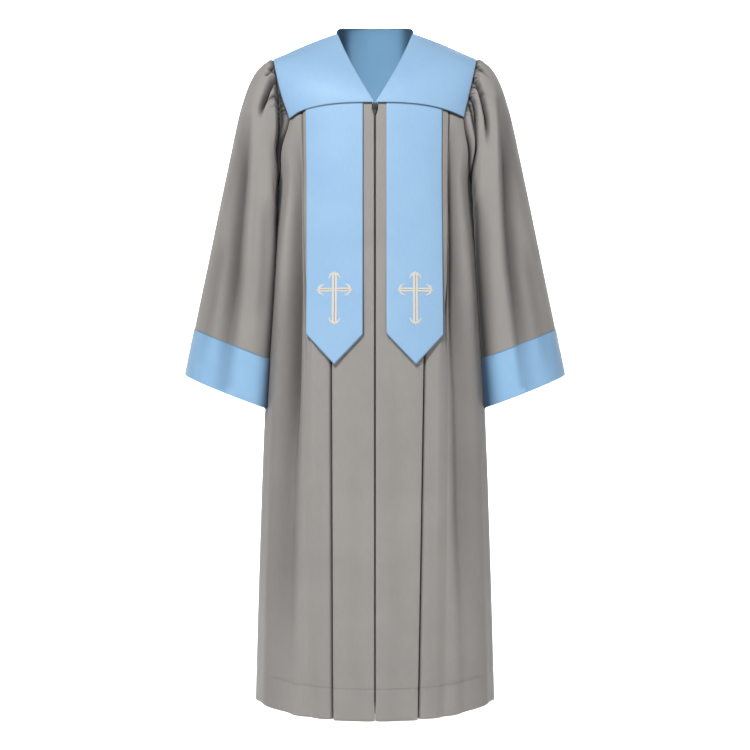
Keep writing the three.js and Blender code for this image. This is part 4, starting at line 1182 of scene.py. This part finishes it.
def buildCoil():
    # The zip's coil: small bars across the gap between the two fronts.
    z = np.arange(coil["top"], coil["bottom"], -coil["pitch"])
    ends = [onRobe(z, np.full_like(z, coil["half"]), -coil["inset"], -1, side) for side in (-1, 1)]
    normals = np.broadcast_to((0.0, -1.0, 0.0), ends[0].shape)
    radius, rise = (np.full_like(z, coil[key]) for key in ("radius", "rise"))
    piece = stitchMesh("zip_coil", *ends, normals, radius, rise, 0 * z, stations=(0, 0.5, 1), around=6)
    dress(piece, "zip_tape")


for name, hand in hands.items():
    buildCross(name, hand)
buildCoil()

print("stage: sleeves and cuffs")

sleeveCloth = {
    "columns": 372, "rows": 100, "seamGap": 0.6, "tuckIn": 3.5, "tuckBack": 5, "middleX": 186, "middleZ": -181,
    "gathered": (-0.02, 0.12), "comesIn": (-0.3, 2.4), "middleSeed": 5, "justBelow": 0.01,
}
# Distances down the sleeve's middle line, from the armhole seam to each ring.
armLength = 9.0
ringKnots = runningSum(np.hypot(np.diff(sleeve["middleX"]), np.diff(sleeve["middleZ"])))
sleeveKnots = np.insert(ringKnots + armLength, 0, 0)


def ringPoint(i, angle, square):
    # square is how boxy the quarter is that lies in front against the robe.
    fading = (sleeve["boxyEnd"] - i) / sleeve["boxyFades"]
    boxy = mix(sleeve["roundness"], square, min(i / sleeve["boxyFrom"], 1, fading))
    roundness = np.where((np.cos(angle) < 0) & (np.sin(angle) > 0), boxy, sleeve["roundness"])
    c = signedPower(np.cos(angle), 2 / roundness)
    s = signedPower(np.sin(angle), 2 / roundness)
    ring = {key: sleeve[key][i] for key in sleeve if isinstance(sleeve[key], tuple)}
    pressed = ring["pressedIn"] * np.clip(sleeve["pressedShare"] * s, 0, 1)
    toX = np.where(c > 0, ring["outerX"] - ring["middleX"], ring["middleX"] - ring["innerX"] + pressed)
    toZ = np.where(c > 0, ring["outerZ"] - ring["middleZ"], ring["middleZ"] - ring["innerZ"])
    middleY = (ring["front"] + ring["back"]) / 2
    halfY = (ring["back"] - ring["front"]) / 2
    lean = ring["lean"] * np.maximum(-c, 0)
    return np.stack([ring["middleX"] + c * toX, middleY - s * halfY + lean, ring["middleZ"] + c * toZ], axis=-1)


# How closely the sleeve's columns lie round the arm, by degrees from its top line towards the front, and how closely
# its rows lie, by distance from the armhole.
angleSpread = {
    "at": (-90, -30, -5, 5, 92, 100, 160, 174, 255, 270),
    "density": (0.7, 0.9, 1.2, 1.9, 1.9, 1.6, 1.3, 0.4, 0.4, 0.7),
}
lengthSpread = {"at": (0, 30, 70, 150, 230, 700), "density": (2.6, 2.0, 1.3, 0.9, 0.42, 0.36)}


def spreadAlong(table, start, end, count):
    fine = np.linspace(start, end, 2000)
    total = runningSum(np.interp(fine, table["at"], table["density"]))[:-1]
    return np.interp(np.linspace(0, total[-1], count), total, fine)


def spreadAngles(count):
    return np.radians(spreadAlong(angleSpread, -90, 270, count + 1))


def sleeveSurface(angles, lengths, square):
    # The smooth sleeve: each angle's line is a smooth curve through its points on the seam and on every ring.
    seamRing = armhole(angles) + (sleeveCloth["seamGap"], 0, 0)
    rings = np.stack([seamRing] + [ringPoint(i, angles, square) for i in range(len(ringKnots))])
    return smoothCurve(sleeveKnots, rings, lengths)


# Creases as they lie on the front or back of each sleeve, in the XZ plane. line is the points down the crease, inner
# and outer are its soft widths towards the robe and away from it, and start and end are how much of its depth its ends
# have.
creaseNames = ("face", "inner", "outer", "depth", "start", "end", "line")
sleeveCreases = {
    "right": [
        ("front", 2.6, 3.2, 6, 1, 0, [(195, -70), (204, -76), (211, -84)]),
        ("front", 2.6, 3.6, 9, 1, 0, [(195, -85), (203, -84), (210, -90), (215, -99)]),
        ("front", 4.2, 5.2, 21, 1, 0, [(192, -95), (199, -100), (204, -112), (209, -127), (215, -145),
         (220, -163), (223, -186)]),
        ("front", 3.4, 2.0, 24, 1, 0, [(194, -100), (193.5, -124), (193, -150), (191, -190), (186.5, -225),
         (185, -250), (187, -278), (190, -318), (191, -350)]),
        ("front", 8, 2.4, 9, 0.6, 0, [(190, -112), (188.5, -150), (186, -200), (182, -245), (188, -310)]),
        ("front", 12, 26, 23, 0, 0.3, [(245, -165), (251, -225), (256, -300), (262, -374), (266, -430),
         (270, -520), (278, -600), (288, -700)]),
        ("front", 8, 4.5, -4, 0, 0, [(238, -120), (240.5, -176), (241, -300), (243, -430), (247, -560)]),
        ("front", 14, 12, 5, 0, 0.2, [(208, -330), (212, -480), (222, -640)]),
        ("front", 14, 12, 6, 0, 0.2, [(300, -400), (318, -520), (338, -650)]),
        ("back", 5, 7, 17, 0.8, 0, [(200, -80), (214, -112), (226, -170), (232, -250)]),
        ("back", 6, 4, 15, 0.7, 0, [(190, -120), (194, -170), (199, -250), (203, -300)]),
        ("back", 14, 24, 16, 0, 0.3, [(240, -220), (254, -400), (276, -590), (290, -700)]),
        ("back", 16, 14, 9, 0, 0.2, [(276, -250), (298, -420), (326, -600)]),
    ],
    "left": [
        ("front", 2.6, 3, 7, 1, 0, [(199, -72), (207, -78), (215, -86)]),
        ("front", 3.2, 4.4, 23, 1, 0, [(188, -101), (195, -104), (201, -115), (206, -132), (211, -155),
         (215.5, -182), (217, -214), (217, -240)]),
        ("front", 3.4, 2.6, 21, 1, 0, [(181, -139), (188, -141), (193, -150), (195.5, -170), (195.5, -200),
         (194, -228), (192, -262), (190.5, -300), (190, -350)]),
        ("front", 2.6, 2.4, 10, 1, 0, [(184, -154), (188, -172), (191, -200), (191, -225)]),
        ("front", 9, 27, 23, 0.2, 0.25, [(243, -150), (250.5, -200), (253.5, -250), (255, -310), (257, -380),
         (262, -470), (276, -590), (290, -700)]),
        ("front", 8, 4, -4.4, 0.2, 0, [(230, -94), (234, -110), (236.5, -150), (236.5, -260), (239, -400)]),
        ("front", 12, 14, 5, 0, 0.2, [(206, -330), (212, -480), (222, -640)]),
        ("front", 14, 12, 5, 0, 0.2, [(296, -420), (316, -540), (336, -660)]),
        ("back", 4.5, 7, 17, 0.8, 0, [(198, -74), (212, -98), (222, -150), (230, -220)]),
        ("back", 6, 4, 14, 0.7, 0, [(186, -130), (193, -190), (200, -260), (203, -310)]),
        ("back", 14, 24, 15, 0, 0.3, [(232, -240), (248, -400), (266, -560), (282, -700)]),
        ("back", 15, 14, 9, 0, 0.2, [(270, -230), (292, -400), (318, -580)]),
    ],
}
# How much painted shade lies in the creases, and how it comes in along them.
creaseShade = {
    "startsOver": 0.25, "endsFrom": 0.55, "facing": (0.05, 0.35), "steep": 1.1, "most": 0.98, "ease": 1.2,
    "endsEase": 0.6,
}
puckers = {
    "pitch": 5.2, "pitchVaries": (0.75, 1.35), "margin": 3, "depth": (2.4, 4.4), "slant": 0.12,
    "length": (14, 30), "width": (1.2, 1.8), "longShare": 0.12, "longLength": (34, 52), "longWidth": (1.8, 2.4),
    "fadesFrom": 0.3, "widensOver": 30, "shade": 0.95, "shadeEase": 1.5,
}
# Painted shade along the armhole seam and where the sleeve lies against the robe; square is how boxy each sleeve's
# front quarter is.
sleeveShade = {
    "seam": 0.75, "seamReach": (0.6, 9), "besideNarrow": 0.9, "narrow": 2.5, "hiddenBelow": (190, 240),
    "square": {"right": 5.5, "left": 3.4}, "wall": 0.95, "wallFrom": {"right": (12, 30), "left": (4, 30)},
    "wallFromLow": 2, "wallLowBelow": (300, 560),
}


def nearLine(x, z, line):
    # Distance of each point from a bent line, above 0 on its outer side, and how far down the line it lies, as a share.
    line = np.array(line, float)
    lengths = np.linalg.norm(np.diff(line, axis=0), axis=1)
    total = lengths.sum()
    best = np.full(x.shape, 1e9)
    share = np.zeros(x.shape)
    outer = np.ones(x.shape)
    start = 0
    for a, b, length in zip(line[:-1], line[1:], lengths):
        t = np.clip(((x - a[0]) * (b[0] - a[0]) + (z - a[1]) * (b[1] - a[1])) / length**2, 0, 1)
        distance = np.hypot(x - mix(a[0], b[0], t), z - mix(a[1], b[1], t))
        side = (b[0] - a[0]) * (z - a[1]) - (b[1] - a[1]) * (x - a[0])
        share = np.where(distance < best, (start + t * length) / total, share)
        outer = np.where(distance < best, np.sign(side), outer)
        best = np.minimum(best, distance)
        start += length
    return best * outer, share


def creaseDepth(base, front, creases):
    # The depth of the creases, and the painted shade that lies in them.
    total = np.zeros(base.shape[:2])
    light = np.ones(base.shape[:2])
    for row in creases:
        crease = dict(zip(creaseNames, row))
        facing = front if crease["face"] == "front" else -front
        distance, share = nearLine(base[..., 0], base[..., 2], crease["line"])
        starts = mix(crease["start"], 1, smoothStep(share, 0, creaseShade["startsOver"]))
        ends = starts * mix(crease["end"], 1, 1 - smoothStep(share, creaseShade["endsFrom"], 1))
        width = np.where(distance < 0, crease["inner"], crease["outer"])
        shape = bump(distance, width) * smoothStep(facing, *creaseShade["facing"])
        total += crease["depth"] * ends * shape
        steepness = creaseShade["steep"] * max(crease["depth"], 0) / (crease["inner"] + crease["outer"])
        dark = min(steepness, creaseShade["most"])
        light *= 1 - dark * ends ** creaseShade["endsEase"] * shape ** creaseShade["ease"]
    return total, 1 - light


def puckerDepth(arc, lengths, seed):
    # Small uneven tucks drawn up into the armhole, running out over the head of the sleeve, and the painted shade in
    # them.
    draw = random.Random(seed)
    total = np.zeros((len(lengths), len(arc)))
    light = np.ones((len(lengths), len(arc)))
    away = lengths[:, None]
    at = arc.min() + puckers["margin"]
    while at < arc.max() - puckers["margin"]:
        isLong = draw.random() < puckers["longShare"]
        depth = draw.uniform(*puckers["depth"])
        length = draw.uniform(*puckers["longLength" if isLong else "length"])
        width = draw.uniform(*puckers["longWidth" if isLong else "width"])
        slant = draw.uniform(-puckers["slant"], puckers["slant"])
        fades = 1 - smoothStep(away, length * puckers["fadesFrom"], length)
        trough = fades * bump(arc[None, :] - at - slant * away, width * (1 + away / puckers["widensOver"]))
        total += depth * trough
        light *= 1 - puckers["shade"] * depth / puckers["depth"][1] * trough ** puckers["shadeEase"]
        at += puckers["pitch"] * draw.uniform(*puckers["pitchVaries"])
    return total, 1 - light


def sleeveGrid(name, hand, angles, lengths):
    base = sleeveSurface(angles, lengths, sleeveShade["square"][name])
    middle = np.stack([
        smoothCurve(sleeveKnots, (sleeveCloth["middleX"], *sleeve["middleX"]), lengths),
        np.zeros(len(lengths)),
        smoothCurve(sleeveKnots, (sleeveCloth["middleZ"], *sleeve["middleZ"]), lengths),
    ], axis=-1)
    outward = base - middle[:, None, :]
    outward /= np.linalg.norm(outward, axis=2, keepdims=True)
    front = np.broadcast_to(np.sin(angles)[None, :], base.shape[:2])
    arc = runningSum(np.linalg.norm(np.diff(armhole(angles), axis=0), axis=1))
    top = np.interp(0, angles, arc)
    gathered = smoothStep(np.cos(angles), *sleeveCloth["gathered"])[None, :]
    isUpper = np.abs(angles) <= halfTurn / 2 + sleeveCloth["justBelow"]
    drawn, drawnShade = np.zeros((2, *base.shape[:2]))
    seed = sleeveCloth["middleSeed"] + hand
    drawn[:, isUpper], drawnShade[:, isUpper] = puckerDepth((arc - top)[isUpper], lengths, seed)
    creased, creasedShade = creaseDepth(base, front, sleeveCreases[name])
    inward = (drawn * gathered + creased) * smoothStep(lengths, *sleeveCloth["comesIn"])[:, None]
    grid = base - outward * inward[..., None]
    low = base[..., 2] < hole["centreZ"]
    side = sectionX(grid[..., 1], np.minimum(grid[..., 2], hole["centreZ"])) + sleeve["clearance"]
    grid[..., 0] = np.where(low, np.maximum(grid[..., 0], side), grid[..., 0])
    # Painted shade where the cloth lies against the robe and along the seam itself, where little light reaches it.
    beside = np.maximum(grid[..., 0] - side, 0)
    besideShade = sleeveShade["besideNarrow"] * bump(beside, sleeveShade["narrow"])
    behind = base[..., 1] - base[..., 1].min(axis=1, keepdims=True)
    faces = ((np.cos(angles) < 0) & (np.sin(angles) > 0))[None, :]
    start, full = sleeveShade["wallFrom"][name]
    start = mix(start, sleeveShade["wallFromLow"], smoothStep(-base[..., 2], *sleeveShade["wallLowBelow"]))
    walled = smoothStep((behind - start) / (full - start), 0, 1)
    besideShade = np.maximum(besideShade, sleeveShade["wall"] * walled * faces)
    besideShade = besideShade * smoothStep(-base[..., 2], *sleeveShade["hiddenBelow"])
    seamShade = sleeveShade["seam"] * (1 - smoothStep(lengths, *sleeveShade["seamReach"]))[:, None]
    shade = darker(drawnShade * gathered, creasedShade, besideShade, seamShade)
    grid[..., 0] *= hand
    return grid, outward * (hand, 1, 1), shade


def buildSleeve(name, hand):
    angles = spreadAngles(sleeveCloth["columns"])
    lengths = spreadAlong(lengthSpread, 0, sleeveKnots[-2], sleeveCloth["rows"])
    grid, outward, shade = sleeveGrid(name, hand, angles, lengths)
    tuck = grid[:1] - outward[:1] * sleeveCloth["tuckIn"] - np.array((hand * sleeveCloth["tuckBack"], 0, 0))
    grid = np.concatenate([tuck, grid])
    shade = np.concatenate([shade[:1], shade])
    piece = makeSheet(
        f"sleeve_{name}_cloth", grid, flatPlaces(grid), sleeve["cloth"], flip=hand < 0, closed=True, sharpest=75,
        shade=shade,
    )
    dress(piece, "grey_cloth", f"sleeve_{name}")


cuff = {
    "columns": 200, "rows": 30, "finerEnds": 0.7, "cloth": 1.1, "low": 0.2, "high": 1.2, "edgeRadius": 3.5,
    "rim": (1.3, 0.8),
}


def buildCuff(name, hand):
    angles = spreadAngles(cuff["columns"])
    share = finerEnds(cuff["rows"], cuff["finerEnds"])
    lengths = mix(sleeveKnots[-2] + seam["gap"], sleeveKnots[-1], share)
    grid, outward, shade = sleeveGrid(name, hand, angles, lengths)
    flat = flatPlaces(grid)
    toEdge = np.minimum(flat[..., 1], flat[-1:, :, 1] - flat[..., 1])
    out = mix(cuff["low"], cuff["high"], roundedEdge(toEdge, cuff["edgeRadius"]))
    grid = grid + outward * out[..., None]
    # Painted shadow line along the cuff's top seam.
    shade = np.maximum(shade, rimShade(flat[..., 1], *cuff["rim"]))
    piece = makeSheet(
        f"cuff_{name}_cloth", grid, flat, cuff["cloth"], flip=hand < 0, closed=True, sharpest=75, shade=shade
    )
    dress(piece, "cuff_cloth", f"cuff_{name}")


for name, hand in hands.items():
    buildSleeve(name, hand)
    buildCuff(name, hand)

for name, slotName in (("zip_tape", "zip_tape"), ("zip_slider", "zip_metal"), ("zip_pull", "zip_metal")):
    nodes[name].data.materials.clear()
    nodes[name].data.materials.append(materials[slotName])
